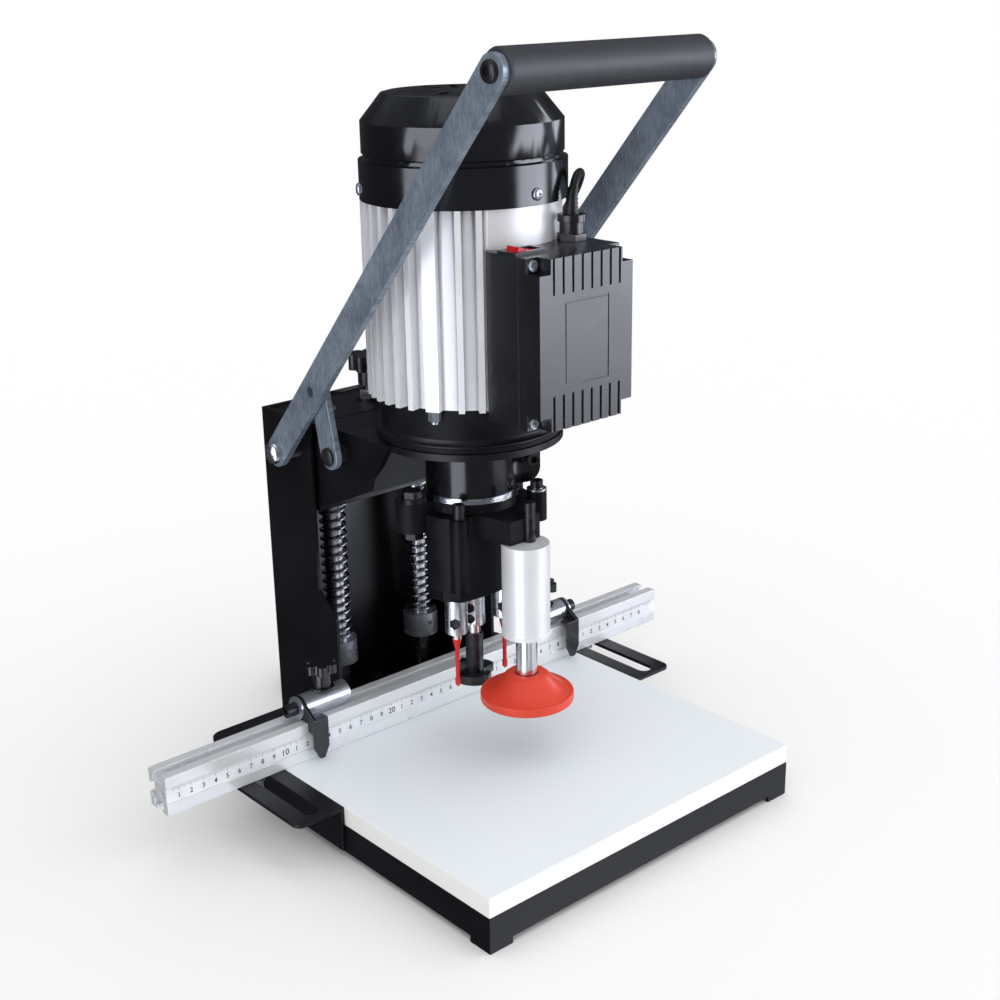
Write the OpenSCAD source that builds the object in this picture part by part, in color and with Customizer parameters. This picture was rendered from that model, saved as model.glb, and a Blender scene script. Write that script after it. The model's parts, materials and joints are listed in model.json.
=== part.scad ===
// Hinge boring machine: a bench drill that sinks a hinge cup hole and its two dowel holes in one stroke.
// X runs along the fence, Y points to the back, Z is up. The origin is under the middle of the base tray.

/* [Base] */
// Width of the steel base tray
tray_w = 302; // [290:1:330]
// Depth of the steel base tray, front to back
tray_d = 344; // [330:1:380]
// Height of the tray
tray_h = 27; // [24:1:34]
// Sheet thickness of the tray
tray_sheet = 2.5; // [2:0.5:4]
// Radius of the tray's two rear corners
tray_corner = 12; // [6:1:20]
// Width of each foot that the notches leave
foot_w = 20; // [12:1:40]
// Height of the notches between the feet
notch_h = 5; // [3:1:8]
// Thickness of the melamine table board
board_t = 15; // [12:1:22]

/* [Ears] */
// Width of the shelf that each ear bracket gives the fence
ear_w = 40; // [34:1:60]
// Length of the ear brackets, front to back
ear_l = 105; // [90:1:120]
// Sheet thickness of the ear brackets
ear_sheet = 3; // [2:0.5:4]
// Depth of the ear's web below its shelf
ear_web = 35; // [20:1:38]
// Distance from the tray's side to the middle of the ear's slot
ear_slot_x = 20; // [18:1:26]
// Width of the ear's slot
ear_slot_w = 12.5; // [10:0.5:14]
// Metal left at each end of the ear's slot
ear_slot_end = 6; // [5:1:12]

/* [Column] */
// Outer width of the column
column_w = 160; // [156:1:180]
// Height of the column above the tray
column_h = 260; // [245:1:280]
// Depth of the column's side flanges at the foot
column_foot_d = 85; // [82:1:90]
// How much shallower the flanges are above the step
column_step = 21.5; // [16:0.5:24]
// Height of the step above the tray
column_step_z = 105; // [80:1:130]
// Height over which the step is curved
column_step_h = 22; // [12:1:30]
// Sheet thickness of the column
column_sheet = 2.5; // [2:0.5:4]
// Distance from the tray's back edge to the column's back
column_inset = 2; // [1:0.5:6]
// Thickness of the column's foot plate and of its top plate
column_plate_t = 4; // [3:0.5:6]
// Distance from the column's top edge down to its top plate
top_plate_drop = 2; // [1:0.5:5]

/* [Guides] */
// Diameter of the guide rods
rod_d = 16; // [14:0.5:18]
// Distance between the guide rods
rod_gap = 85; // [80:1:92]
// Distance from the column's back face to the guide rods
rod_setback = 33; // [31:1:36]
// Diameter of the collars under the springs
collar_d = 29; // [26:1:32]
// Height of the collars
collar_h = 20; // [14:1:24]
// Height of the collars above the tray
collar_z = 44; // [30:1:55]
// Wire diameter of the return springs
spring_wire = 2.2; // [1.8:0.1:2.6]
// Curls in each return spring
spring_curls = 17; // [12:1:20]

/* [Carriage] */
// Thickness of the carriage's side cheeks
cheek_t = 5; // [4:0.5:6]
// Clear width between the cheeks
cheek_gap = 138; // [137:0.5:139]
// Thickness of the ring plate that the motor stands on
ring_t = 5; // [4:0.5:8]
// Height of the box that holds the guide bushes
bush_box_h = 60; // [50:1:66]
// Depth of that box, front to back
bush_box_d = 44; // [40:1:46]
// Wall thickness of that box
bush_box_wall = 4; // [3:0.5:6]
// Distance from the guide rods forward to the main spindle
reach = 121; // [118:1:124]

/* [Lift linkage] */
// Length of the handle bars between their end holes
handle_l = 385; // [340:1:420]
// Angle of the handle bars above level at rest
handle_angle = 48.5; // [45:0.5:52]
// Width of the handle bars
handle_w = 22; // [18:1:24]
// Thickness of the handle bars and link bars
bar_t = 5; // [4:0.5:5]
// Distance between the inner faces of the handle bars
bar_gap = 176; // [175:0.5:184]
// Distance of the handle pivots in front of the column's back
pivot_setback = 36; // [30:1:40]
// Distance of the handle pivots below the column's top
pivot_drop = 26.5; // [22:0.5:32]
// Distance from the handle pivots to the link holes in the handle bars
link_arm = 76; // [70:0.5:82]
// Width of the link bars
link_w = 20; // [16:1:22]
// Distance from the main spindle back to the link's lower pivots
link_setback = 57; // [54:1:60]
// Distance of the link's lower pivots below the ring plate's underside
link_drop = 11.5; // [10:0.5:14]
// Diameter of the pivot pins
pivot_d = 10; // [8:0.5:11]
// Diameter of the grip
grip_d = 28; // [26:1:36]
// Diameter of the rod inside the grip
grip_rod_d = 18; // [14:1:20]

/* [Motor] */
// Outer diameter over the motor's fins
motor_d = 146; // [142:1:146]
// Height of the finned barrel
barrel_h = 138; // [134:1:150]
// Height of the lower end bell above the ring plate
bell_h = 31; // [26:1:36]
// Depth of the fins
fin_h = 8; // [5:0.5:9]
// Width of each fin
fin_w = 4.2; // [3:0.1:5]
// Angle between neighbouring fins
fin_step = 9.3; // [8:0.1:12]
// Height of the fan cover's lower band
cover_band_h = 28; // [24:1:34]
// Height of the whole fan cover
cover_h = 72; // [66:1:80]
// Wall of the fan cover
cover_wall = 2; // [1.5:0.5:3]
// Diameter of the motor shaft
shaft_d = 12; // [10:0.5:14]

/* [Switch box] */
// Width of the switch box
box_w = 86; // [84:1:90]
// Distance from the motor's middle plane to the box's middle plane
box_x = 7; // [6:0.5:8]
// Height of the switch box
box_h = 116; // [112:1:120]
// Height of the box's underside above the ring plate
box_z = 26; // [24:1:30]
// Distance from the spindle forward to the seam of the cover
box_seam = 95; // [94:1:98]
// Depth of the box cover
box_cover_d = 21; // [18:1:26]
// Wall of the box
box_wall = 2.5; // [2:0.5:3]
// Size of the notches at the cover's corners
box_notch = 10; // [9:0.5:12]
// Number of vent slots in each row
vent_count = 8; // [4:1:9]
// Pitch of the vent slots
vent_pitch = 8.7; // [7:0.1:9]
// Diameter of the cable gland
gland_d = 19.5; // [16:0.5:20]

/* [Gearbox] */
// Outer diameter of the clamp sleeve under the motor
sleeve_d = 67; // [64:1:68]
// Length of the clamp sleeve
sleeve_h = 45; // [40:1:50]
// Diameter of the spigots that the sleeve holds
spigot_d = 54; // [50:1:56]
// Height of the gearbox under the sleeve
gearbox_h = 76; // [73:1:85]
// Distance from the spindle to each dowel spindle along the fence
dowel_x = 24; // [22.5:0.5:26]
// Distance of the dowel spindles in front of the main spindle
dowel_y = 8; // [7:0.5:9.5]
// Teeth on each spindle gear
gear_teeth = 24; // [20:4:28]
// Diameter of the gearbox shafts
spindle_d = 10; // [8:0.5:11]
// Diameter of the chucks
chuck_d = 17.5; // [17:0.5:20]
// Length of the dowel drill chucks
chuck_l = 33; // [29:1:37]

/* [Tools] */
// Diameter of the hinge cutter
cutter_d = 35; // [26:1:38]
// Height of the cutter head
cutter_h = 7; // [6:1:12]
// Length from the cutter's rim up to its chuck
cutter_l = 46; // [42:1:52]
// Length of the drill bits below their chucks
bit_l = 44; // [40:1:46]
// Diameter of the drill bits' cutting part
bit_d = 3.2; // [3:0.1:6]
// Diameter of the drill bits' shanks
bit_shank_d = 7.5; // [6:0.5:8]

/* [Press foot] */
// Distance from the main spindle forward to the press foot
foot_y = 60; // [56:1:66]
// Diameter of the press foot's cylinder
foot_cyl_d = 35.5; // [32:0.5:38]
// Length of the press foot's cylinder
foot_cyl_l = 72; // [66:1:78]
// Diameter of the press foot's rod
foot_rod_d = 16; // [12:0.5:17]
// Diameter of the press foot's cup
foot_cup_d = 70; // [60:1:74]
// Distance from the cylinder down to the cup's rim
foot_reach = 53; // [50:1:58]
// Spring travel of the press foot
foot_travel = 22; // [10:1:24]

/* [Fence] */
// Length of the fence
fence_len = 500; // [470:5:560]
// Depth of the fence, front to back
fence_d = 24; // [23:0.5:26]
// Height of the fence
fence_h = 30; // [28:1:34]
// Width of the fence's slot mouths
slot_w = 8; // [7:0.5:9]
// Width of the slots' inner chambers
slot_in_w = 13; // [12:0.5:14]
// Depth of the slots' lips
slot_lip = 2.5; // [2:0.5:3]
// Depth of the slots' inner chambers
slot_in_d = 5; // [4.5:0.5:5.5]
// Height of the ruler strip
ruler_h = 11.6; // [8:0.2:14]
// Thickness of the ruler strip
ruler_t = 0.6; // [0.5:0.1:1]

/* [Stops] */
// Distance from the middle to the outer end of the left stop
stop_left = 126; // [120:1:160]
// Distance from the middle to the outer end of the right stop
stop_right = 143; // [125:1:160]
// Length of the stop blocks
stop_l = 40; // [36:1:46]
// Diameter of the stop blocks
stop_d = 18; // [16:1:20]
// Width of the flip fingers
finger_w = 13; // [10:1:16]
// Sheet thickness of the flip fingers
finger_t = 3; // [2.5:0.5:4]
// Diameter of the stop knobs
knob_d = 25; // [20:1:25]
// Diameter of the height stop's knob
height_knob_d = 32; // [28:1:36]

/* [Cord] */
// Diameter of the mains cord
cord_d = 6; // [5:0.1:6]
// Radius of the coil's outer turn
coil_r = 44; // [38:1:46]
// Turns in the coil
coil_turns = 4.875; // [3.875:1:6.875]
// Space between the coil's turns, from tube to tube
coil_space = 0.5; // [0.45:0.05:1]

/* [Fits] */
// Radial gap between a shaft or pin and the hole it turns or slides in
run_gap = 0.05; // [0.03:0.01:0.1]
// Gap between flat faces that slide past each other
slide_gap = 0.2; // [0.2:0.05:0.4]
// Gap beside a fastener in its hole or slot
loose_gap = 0.25; // [0.15:0.05:0.4]

/* [Hidden] */
$fn = 64;
eps = 0.01;

// Heights and places of the fixed frame
front_y = -tray_d / 2;
table_z = tray_h + board_t;
column_back = tray_d / 2 - column_inset;
column_front = column_back - column_foot_d;
column_top = tray_h + column_h;
column_in = column_w / 2 - column_sheet;
foot_plate_top = tray_h + column_plate_t;
top_plate_z = column_top - top_plate_drop - column_plate_t;
top_plate_top = top_plate_z + column_plate_t;
board_back = column_front - 1;
rod_y = column_back - rod_setback;
rod_x = rod_gap / 2;
collar_top = tray_h + collar_z + collar_h;

// Heights and places of the drilling head, at the top of its travel
spindle_y = rod_y - reach;
head_z = top_plate_z;
ring_top = head_z + ring_t;
bush_box_top = head_z - 9;
bush_box_z = bush_box_top - bush_box_h;
bush_flange_t = 4;
bush_wall = 4;
spring_top = bush_box_z - bush_flange_t;
barrel_z = ring_top + bell_h;
barrel_top = barrel_z + barrel_h;
cover_top = barrel_top + cover_h;
motor_r = motor_d / 2;
sleeve_z = ring_top - sleeve_h;
gearbox_top = sleeve_z;
gearbox_z = gearbox_top - gearbox_h;
cover_plate_t = 8;
bearing_h = 7;
bearing_r = 11;
gear_z = gearbox_z + 17;
gear_h = 18;
gear_r = sqrt(dowel_x * dowel_x + dowel_y * dowel_y) / 2;
gear_module = 2 * gear_r / gear_teeth;
flange_z = gearbox_top - 26;
foot_top_z = gearbox_z + 47;
foot_cyl_z = foot_top_z - foot_cyl_l;
foot_rim_z = foot_cyl_z - foot_reach;
press_y = spindle_y - foot_y;

// Places of the linkage
bar_x = bar_gap / 2;
pivot_y = column_back - pivot_setback;
pivot_z = column_top - pivot_drop;
link_y = spindle_y + link_setback;
link_z = head_z - link_drop;
arm_y = pivot_y - link_arm * cos(handle_angle);
arm_z = pivot_z + link_arm * sin(handle_angle);
grip_y = pivot_y - handle_l * cos(handle_angle);
grip_z = pivot_z + handle_l * sin(handle_angle);
cheek_x = cheek_gap / 2;
link_x = bar_x - bar_t - 1;

// Places of the fence and the stops
fence_back = column_front - 2;
fence_y = fence_back - fence_d / 2;
fence_front = fence_back - fence_d;
fence_z = table_z + slide_gap;
fence_top = fence_z + fence_h;
stop_z = fence_top + slide_gap + stop_d / 2;
stop_bolt_d = 6;
ear_back = column_front + 5;
ear_front = ear_back - ear_l;

// Places of the switch box
box_y = spindle_y - box_seam;
box_front = box_y - box_cover_d;
box_back = box_y + 39;
box_bottom = ring_top + box_z;
box_top = box_bottom + box_h;
pad_r = motor_r - 4;
rocker_x = box_x - 27;
rocker_y = box_y + 12;
gland_x = box_x + 27.5;
gland_y = box_y + 22.5;
gland_h = 18;

// Free stretch of the mains cord, from the gland over the column's top and down behind it
cord_route = [[34.5, -56.5, 446], [34.9, -56.3, 454], [38.1, -54.7, 463], [45, -51, 470], [54, -45, 471],
    [63, -36, 466], [70.5, -24, 456], [76, -9, 441], [79.5, 8, 422], [80, 28, 400], [79, 48, 379],
    [76, 70, 358], [71, 92, 338], [66, 114, 322], [62, 135, 311], [60, 155, 303], [60, 173, 289],
    [60, 180, 266], [60, 181, 235], [60, 181, 195], [60, 181, 155], [60, 181, 115], [60, 181, 75],
    [60, 181, 34], [60, 183, 24.5], [60, 188, 16.7], [60, 196, 11.5], [60, 205, 9.7], [60, 219, 9.7],
    [60, 233, 9.7]];
coil_centre = [60 - coil_r, 233];
coil_pitch = cord_d + coil_space;
coil_low = cord_d / 2 + 0.2;
coil_exit = 35;
coil_rise = 3.65;
coil_rings = 24;

// A block given by two opposite corners
module slab(a, b) {
    translate(a) cube([b[0] - a[0], b[1] - a[1], b[2] - a[2]]);
}

// A round bar along X from x1 to x2
module bar_on_x(x1, x2, y, z, r) {
    translate([x1, y, z]) rotate([0, 90, 0]) cylinder(h = x2 - x1, r = r);
}

// A flat plate from x to x + t whose outline is drawn in Y and Z
module plate_on_x(x, t) {
    translate([x, 0, 0]) rotate([90, 0, 90]) linear_extrude(t) children();
}

// The children and their mirror image on the other side
module both_sides() {
    children();
    mirror([1, 0, 0]) children();
}

// Outline of two round ends joined by their outer tangents
module lobes(p, rp, q, rq) {
    d = norm(q - p);
    dir = atan2(q[1] - p[1], q[0] - p[0]);
    lean = acos((rp - rq) / d);
    function rim(c, r, a) = c + r * [cos(a), sin(a)];
    translate(p) circle(rp);
    translate(q) circle(rq);
    polygon([rim(p, rp, dir + lean), rim(q, rq, dir + lean), rim(q, rq, dir - lean), rim(p, rp, dir - lean)]);
}

// A star knob standing on z = 0, with its lobes on top
module star_knob(d, hub_d, hub_h, head_h, count) {
    lobe_r = d * 0.15;
    cylinder(h = hub_h + head_h, d = hub_d);
    translate([0, 0, hub_h]) {
        cylinder(h = head_h, r = d / 2 - lobe_r);
        for (i = [0 : count - 1]) rotate([0, 0, i * 360 / count])
            translate([d / 2 - lobe_r, 0, 0]) cylinder(h = head_h, r = lobe_r);
    }
}

// A domed head standing on z = 0
module dome(r, h) {
    rotate_extrude() polygon(concat([[0, 0], [r, 0]],
        [for (k = [0 : 6]) [r * cos(k * 15), h * (0.35 + 0.65 * sin(k * 15))]]));
}

// Hexagon prism given across its flats
module hexagon(flats, h) {
    cylinder(h = h, d = flats / cos(30), $fn = 6);
}

// Smooth curve through four control points, for t from 0 to 1 between b and c
function smooth(a, b, c, d, t) = b * 1 + 0.5 * t * (c - a)
    + t * t * (a - 2.5 * b + 2 * c - 0.5 * d) + t * t * t * (1.5 * b - 0.5 * a - 1.5 * c + 0.5 * d);

// Points of a smooth curve through a route, with a given number of steps a stretch
function curve(route, steps) = [for (i = [0 : len(route) - 2]) for (k = [0 : steps - 1])
    smooth(route[max(0, i - 1)], route[i], route[i + 1], route[min(len(route) - 1, i + 2)], k / steps),
    route[len(route) - 1]];

function unit(v) = v / norm(v);
function heading(path, i) = unit(path[min(len(path) - 1, i + 1)] - path[max(0, i - 1)]);

// Least distance between stretches of a tube that are more than skip rings apart, less its thickness
function self_gap(path, skip, d) = min([for (i = [0 : len(path) - 1 - skip])
    min([for (j = [i + skip : len(path) - 1]) norm(path[i] - path[j])])]) - d;

// A tube swept along a path, with its rings square to it and side as the way that ring corner 0 leans
module swept_tube(path, d, sides, side) {
    n = len(path);
    points = [for (i = [0 : n - 1])
        let (t = heading(path, i), u = unit(cross(t, side[i])), v = cross(u, t))
        for (k = [0 : sides - 1]) path[i] + d / 2 * (u * cos(k * 360 / sides) + v * sin(k * 360 / sides))];
    walls = [for (i = [0 : n - 2]) for (k = [0 : sides - 1])
        let (a = i * sides + k, b = i * sides + (k + 1) % sides)
        for (face = [[a, b, b + sides], [a, b + sides, a + sides]]) face];
    first_cap = [for (k = [0 : sides - 1]) sides - 1 - k];
    last_cap = [for (k = [0 : sides - 1]) (n - 1) * sides + k];
    polyhedron(points, concat([first_cap], walls, [last_cap]), convexity = 10);
}

// Base tray: folded sheet, open below, standing on four corner feet
module tray_outline(inset) {
    w = tray_w - 2 * inset;
    d = tray_d - 2 * inset;
    r = tray_corner - inset;
    translate([-w / 2, -d / 2]) square([w, d - r]);
    translate([-w / 2 + r, -d / 2]) square([w - 2 * r, d]);
    for (x = [-w / 2 + r, w / 2 - r]) translate([x, d / 2 - r]) circle(r);
}

column_bolt_spots = [for (x = [-60, 9, 60]) [x, column_back - 11], [-60, column_front + 40], [60,
    column_front + 40]];

module base_tray() {
    color("#1b1c1f") difference() {
        linear_extrude(tray_h) tray_outline(0);
        translate([0, 0, -tray_sheet]) linear_extrude(tray_h) tray_outline(tray_sheet);
        slab([-tray_w / 2 + foot_w, -tray_d, -1], [tray_w / 2 - foot_w, tray_d, notch_h]);
        slab([-tray_w, -tray_d / 2 + foot_w, -1], [tray_w, tray_d / 2 - foot_w, notch_h]);
        for (p = column_bolt_spots) translate([p[0], p[1], tray_h - 10]) cylinder(h = 20, d = 6);
    }
}

// Melamine board on the tray
module table_board() {
    color("#f4f5f7") slab([-tray_w / 2, front_y, tray_h], [tray_w / 2, board_back, table_z]);
}

// Slotted shelf that carries one end of the fence, welded to the tray's side
module ear_bracket() {
    x0 = tray_w / 2;
    r = 7;
    color("#202226") difference() {
        union() {
            slab([x0, ear_front, table_z - ear_web], [x0 + ear_sheet, ear_back, table_z]);
            translate([0, 0, table_z - ear_sheet]) linear_extrude(ear_sheet) union() {
                translate([x0, ear_front]) square([ear_w - r, ear_l]);
                translate([x0, ear_front + r]) square([ear_w, ear_l - 2 * r]);
                for (y = [ear_front + r, ear_back - r]) translate([x0 + ear_w - r, y]) circle(r);
            }
        }
        translate([x0 + ear_slot_x, 0, table_z - ear_sheet - 1]) linear_extrude(ear_sheet + 2)
            lobes([0, ear_front + ear_slot_end + ear_slot_w / 2], ear_slot_w / 2,
                  [0, ear_back - ear_slot_end - ear_slot_w / 2], ear_slot_w / 2);
    }
}

module left_ear_bracket() mirror([1, 0, 0]) ear_bracket();
module right_ear_bracket() ear_bracket();

// Column: folded channel that is open to the front, with its foot plate
module column_flange() {
    step_top = tray_h + column_step_z + column_step_h;
    upper_front = column_front + column_step;
    sweep = [for (k = [0 : 10]) [column_front + column_step * (1 - cos(k * 18)) / 2,
        tray_h + column_step_z + column_step_h * k / 10]];
    difference() {
        polygon(concat([[column_back, tray_h], [column_front, tray_h]], sweep,
            [[upper_front, step_top + 1], [upper_front, column_top], [column_back, column_top]]));
        translate([pivot_y, pivot_z]) circle(d = pivot_d);
    }
}

module column() {
    color("#1a1b1e") {
        difference() {
            union() {
                both_sides() plate_on_x(column_in, column_sheet) column_flange();
                slab([-column_in - eps, column_back - column_sheet, tray_h], [column_in + eps,
                    column_back, column_top]);
                slab([-column_in - eps, column_front + 25, tray_h], [column_in + eps, column_back,
                    foot_plate_top]);
            }
            for (p = column_bolt_spots) translate([p[0], p[1], tray_h - 1]) cylinder(h = 20, d = 6);
        }
    }
}

// Plate under the column's top edge that holds the guide rods and the height stop
module column_top_plate() {
    color("#212327") difference() {
        slab([-column_in, column_front + column_step + 2, top_plate_z],
             [column_in, column_back - column_sheet, top_plate_top]);
        for (x = [-rod_x, rod_x]) translate([x, rod_y, top_plate_z - 1]) cylinder(h = 20, d = rod_d);
        translate([0, rod_y, top_plate_z - 1]) cylinder(h = 20, r = stop_screw_r + run_gap);
    }
}

// Domed bolts that hold the column's foot plate to the tray
module column_bolts() {
    color("#2c2e33") for (p = column_bolt_spots) translate([p[0], p[1], 0]) {
        translate([0, 0, tray_h - 10]) cylinder(h = 10 + column_plate_t, d = 6);
        translate([0, 0, foot_plate_top]) dome(5.5, 3.5);
        translate([0, 0, tray_h - tray_sheet - 5]) hexagon(10, 5);
    }
}

// Ground steel rods that the head slides on
module guide_rods() {
    color("#c9ccd0") for (x = [-rod_x, rod_x]) translate([x, rod_y, foot_plate_top])
        cylinder(h = top_plate_top - foot_plate_top, d = rod_d);
}

// Collars that carry the return springs, each with the hole of its set screw
module spring_collars() {
    turn = [-160, -94];
    color("#8d949c") for (i = [0, 1]) translate([(i * 2 - 1) * rod_x, rod_y, tray_h + collar_z])
        difference() {
        cylinder(h = collar_h, d = collar_d);
        translate([0, 0, -1]) cylinder(h = collar_h + 2, d = rod_d);
        translate([0, 0, collar_h * 0.6]) rotate([0, 90, turn[i]]) cylinder(h = collar_d, d = 4.2);
    }
}

// Return springs: closed end curls, an even helix between them and straight tips
spring_r = rod_d / 2 + 0.8 + spring_wire / 2;
spring_foot = collar_top + spring_wire / 2 + 0.1;
spring_end = spring_top - spring_wire / 2 - 0.1;
spring_steps = 8;
spring_closed = spring_wire + 0.6;
spring_open = (spring_end - spring_foot - 2 * spring_closed) / (spring_curls - 2);
function spring_height(u) = u < 1 ? u * spring_closed
    : u > spring_curls - 1 ? spring_end - spring_foot - (spring_curls - u) * spring_closed
    : spring_closed + (u - 1) * spring_open;
function spring_point(u) = [spring_r * cos(360 * u), spring_r * sin(360 * u), spring_foot + spring_height(u)];
function spring_path() = let (p = [for (k = [0 : spring_curls * spring_steps])
    spring_point(k / spring_steps)],
    last = len(p) - 1)
    concat([p[0] - spring_wire * [0, 1, 0]], p, [p[last] + spring_wire * [0, 1, 0]]);

module return_springs() {
    path = spring_path();
    echo(spring_self_gap = self_gap(path, 5, spring_wire));
    color("#b9bec6") for (x = [-rod_x, rod_x]) translate([x, rod_y, 0])
        swept_tube(path, spring_wire, 6, [for (p = path) [0, 0, 1]]);
}

// Studs, spacers and domed nuts that the handle bars turn on
module handle_pivot_bolts() {
    color("#c3c8cf") both_sides() {
        bar_on_x(column_in, bar_x + bar_t + 1, pivot_y, pivot_z, pivot_d / 2);
        bar_on_x(column_w / 2, bar_x - slide_gap, pivot_y, pivot_z, pivot_d / 2 + 3);
        translate([bar_x + bar_t + slide_gap, pivot_y, pivot_z]) rotate([0, 90, 0])
            dome(pivot_d / 2 + 3.5, 7);
    }
}

// Mains cord: the free stretch, the coil behind the column and the plug
module mains_cord() {
    path = curve(cord_route, 2);
    echo(cord_free_length = length_of(path));
    color("#0d0d0f") swept_tube(path, cord_d, 8, [for (p = path) [1, 0, 0]]);
}

function length_of(path) = let (steps = [for (i = [1 : len(path) - 1]) norm(path[i] - path[i - 1])])
    steps * [for (s = steps) 1];
function coil_radius(u) = coil_r - coil_pitch * min(u, coil_turns - u);
function coil_layer(u) = let (t = (coil_turns / 2 + 0.25 - u) / 0.5, c = min(1, max(0, t)))
    coil_low + coil_pitch * (3 * c * c - 2 * c * c * c);
function coil_point(u) = [coil_centre[0] + coil_radius(u) * cos(360 * u),
    coil_centre[1] + coil_radius(u) * sin(360 * u), coil_layer(u)];
function exit_point(s) = let (a = 360 * coil_turns, c = min(1, max(0, (s - 18) / 12)))
    coil_point(coil_turns) + s * [-sin(a), cos(a), 0] + coil_rise * [0, 0, 3 * c * c - 2 * c * c * c];
function coil_path() = concat([for (k = [0 : coil_turns * coil_rings]) coil_point(k / coil_rings)],
    [for (s = [6 : 5 : coil_exit]) exit_point(s)], [exit_point(coil_exit)]);

module cord_coil() {
    path = coil_path();
    echo(coil_self_gap = self_gap(path, 12, cord_d), coil_length = length_of(path));
    color("#0d0d0f") swept_tube(path, cord_d, 6, [for (p = path) [0, 0, 1]]);
}

// Two-pin plug lying flat behind the column
module mains_plug() {
    a = 360 * coil_turns;
    body_h = 13.7;
    translate(exit_point(coil_exit)) rotate([0, 0, a + 90]) {
        color("#141416") union() {
            rotate([0, 90, 0]) cylinder(h = 16, r1 = cord_d / 2 + 0.6, r2 = 5);
            translate([15, -12, -body_h / 2]) cube([34, 24, body_h]);
        }
        color("#c9ccd0") for (y = [-9.5, 9.5]) translate([49, y, 0]) rotate([0, 90, 0]) cylinder(h = 19,
            d = 4);
    }
}

// Height stop: a screw through the top plate with a star knob and a lock nut
stop_screw_r = 5;
stop_nut_z = 2;
module stop_knob() {
    color("#1d1f23") translate([0, rod_y, 0]) {
        translate([0, 0, bush_box_top + 0.3]) cylinder(h = column_top + 10 - bush_box_top - 0.3,
            r = stop_screw_r);
        translate([0, 0, top_plate_top + slide_gap]) cylinder(h = stop_nut_z - slide_gap, r = 11);
        translate([0, 0, top_plate_top + stop_nut_z]) hexagon(17, 6.5);
        translate([0, 0, column_top + 10]) star_knob(height_knob_d, 18, 12, 12, 7);
    }
}

// Fence: an extruded rail with a slot above, behind and below, and a seat for the ruler in front
module slot_mouth() {
    translate([-slot_w / 2, -1]) square([slot_w, slot_lip + 2]);
    translate([-slot_in_w / 2, slot_lip]) square([slot_in_w, slot_in_d]);
}

ruler_z = fence_h / 2;
module fence_profile() {
    difference() {
        translate([fence_front, fence_z]) square([fence_d, fence_h]);
        translate([fence_y, fence_top]) rotate(180) slot_mouth();
        translate([fence_y, fence_z]) slot_mouth();
        translate([fence_back, fence_z + fence_h / 2]) rotate(90) slot_mouth();
        translate([fence_front - 1, fence_z + ruler_z - ruler_h / 2 - 0.2])
            square([1 + ruler_t + 0.2, ruler_h + 0.4]);
        translate([fence_y - fence_d / 4, fence_z + fence_h / 2]) circle(d = 4.2);
    }
}

module fence_rail() {
    color("#d3d6da") plate_on_x(-fence_len / 2, fence_len) fence_profile();
}

module ruler_strip() {
    color("#e4e6e8") slab([-fence_len / 2, fence_front + 0.2, fence_z + ruler_z - ruler_h / 2],
        [fence_len / 2, fence_front + 0.2 + ruler_t, fence_z + ruler_z + ruler_h / 2]);
}

// Bolts that clamp the fence to the ears: T head in the rail's lower slot, nut under the ear
module fence_clamp_bolts() {
    shelf = table_z - ear_sheet - slide_gap;
    x = tray_w / 2 + ear_slot_x;
    head = slot_in_w - 2 * loose_gap;
    color("#9aa0a8") both_sides() {
        translate([x, fence_y, shelf - 9]) cylinder(h = fence_z + slot_lip + 1 - shelf + 9,
            d = slot_w - 2 * loose_gap);
        slab([x - head / 2, fence_y - head / 2, fence_z + slot_lip],
             [x + head / 2, fence_y + head / 2, fence_z + slot_lip + slot_in_d - 1]);
        translate([x, fence_y, shelf - 1.6]) cylinder(h = 1.6, d = 17);
        translate([x, fence_y, shelf - 8]) hexagon(13, 6.5);
    }
}

// Stop block: a round bar on a key in the fence's upper slot, with its finger bolt and washer
module stop_block(end) {
    mid = end - stop_l / 2;
    key = slot_w - 2 * loose_gap;
    head = slot_in_w - 2 * loose_gap;
    chamber = fence_top - slot_lip - slot_in_d;
    stud_r = stop_bolt_d / 2;
    color("#a3a9b1") difference() {
        union() {
            bar_on_x(end - stop_l, end, fence_y, stop_z, stop_d / 2);
            slab([mid - 8, fence_y - key / 2, chamber + 1], [mid + 8, fence_y + key / 2, stop_z]);
            slab([mid - 8, fence_y - head / 2, chamber + 0.5], [mid + 8, fence_y + head / 2,
                chamber + slot_in_d - loose_gap]);
        }
        translate([mid, fence_y, chamber - 1]) cylinder(h = stop_d + fence_h, r = stud_r + run_gap);
        bar_on_x(end - 15, end + 1, fence_y, stop_z, stud_r + run_gap);
    }
    color("#26282c") {
        bar_on_x(end - 14, end + 14, fence_y, stop_z, stud_r);
        bar_on_x(end + 5, end + 14, fence_y, stop_z, 5);
        bar_on_x(end + finger_t + 2 * slide_gap, end + 5, fence_y, stop_z, stop_d / 2);
    }
}

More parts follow.
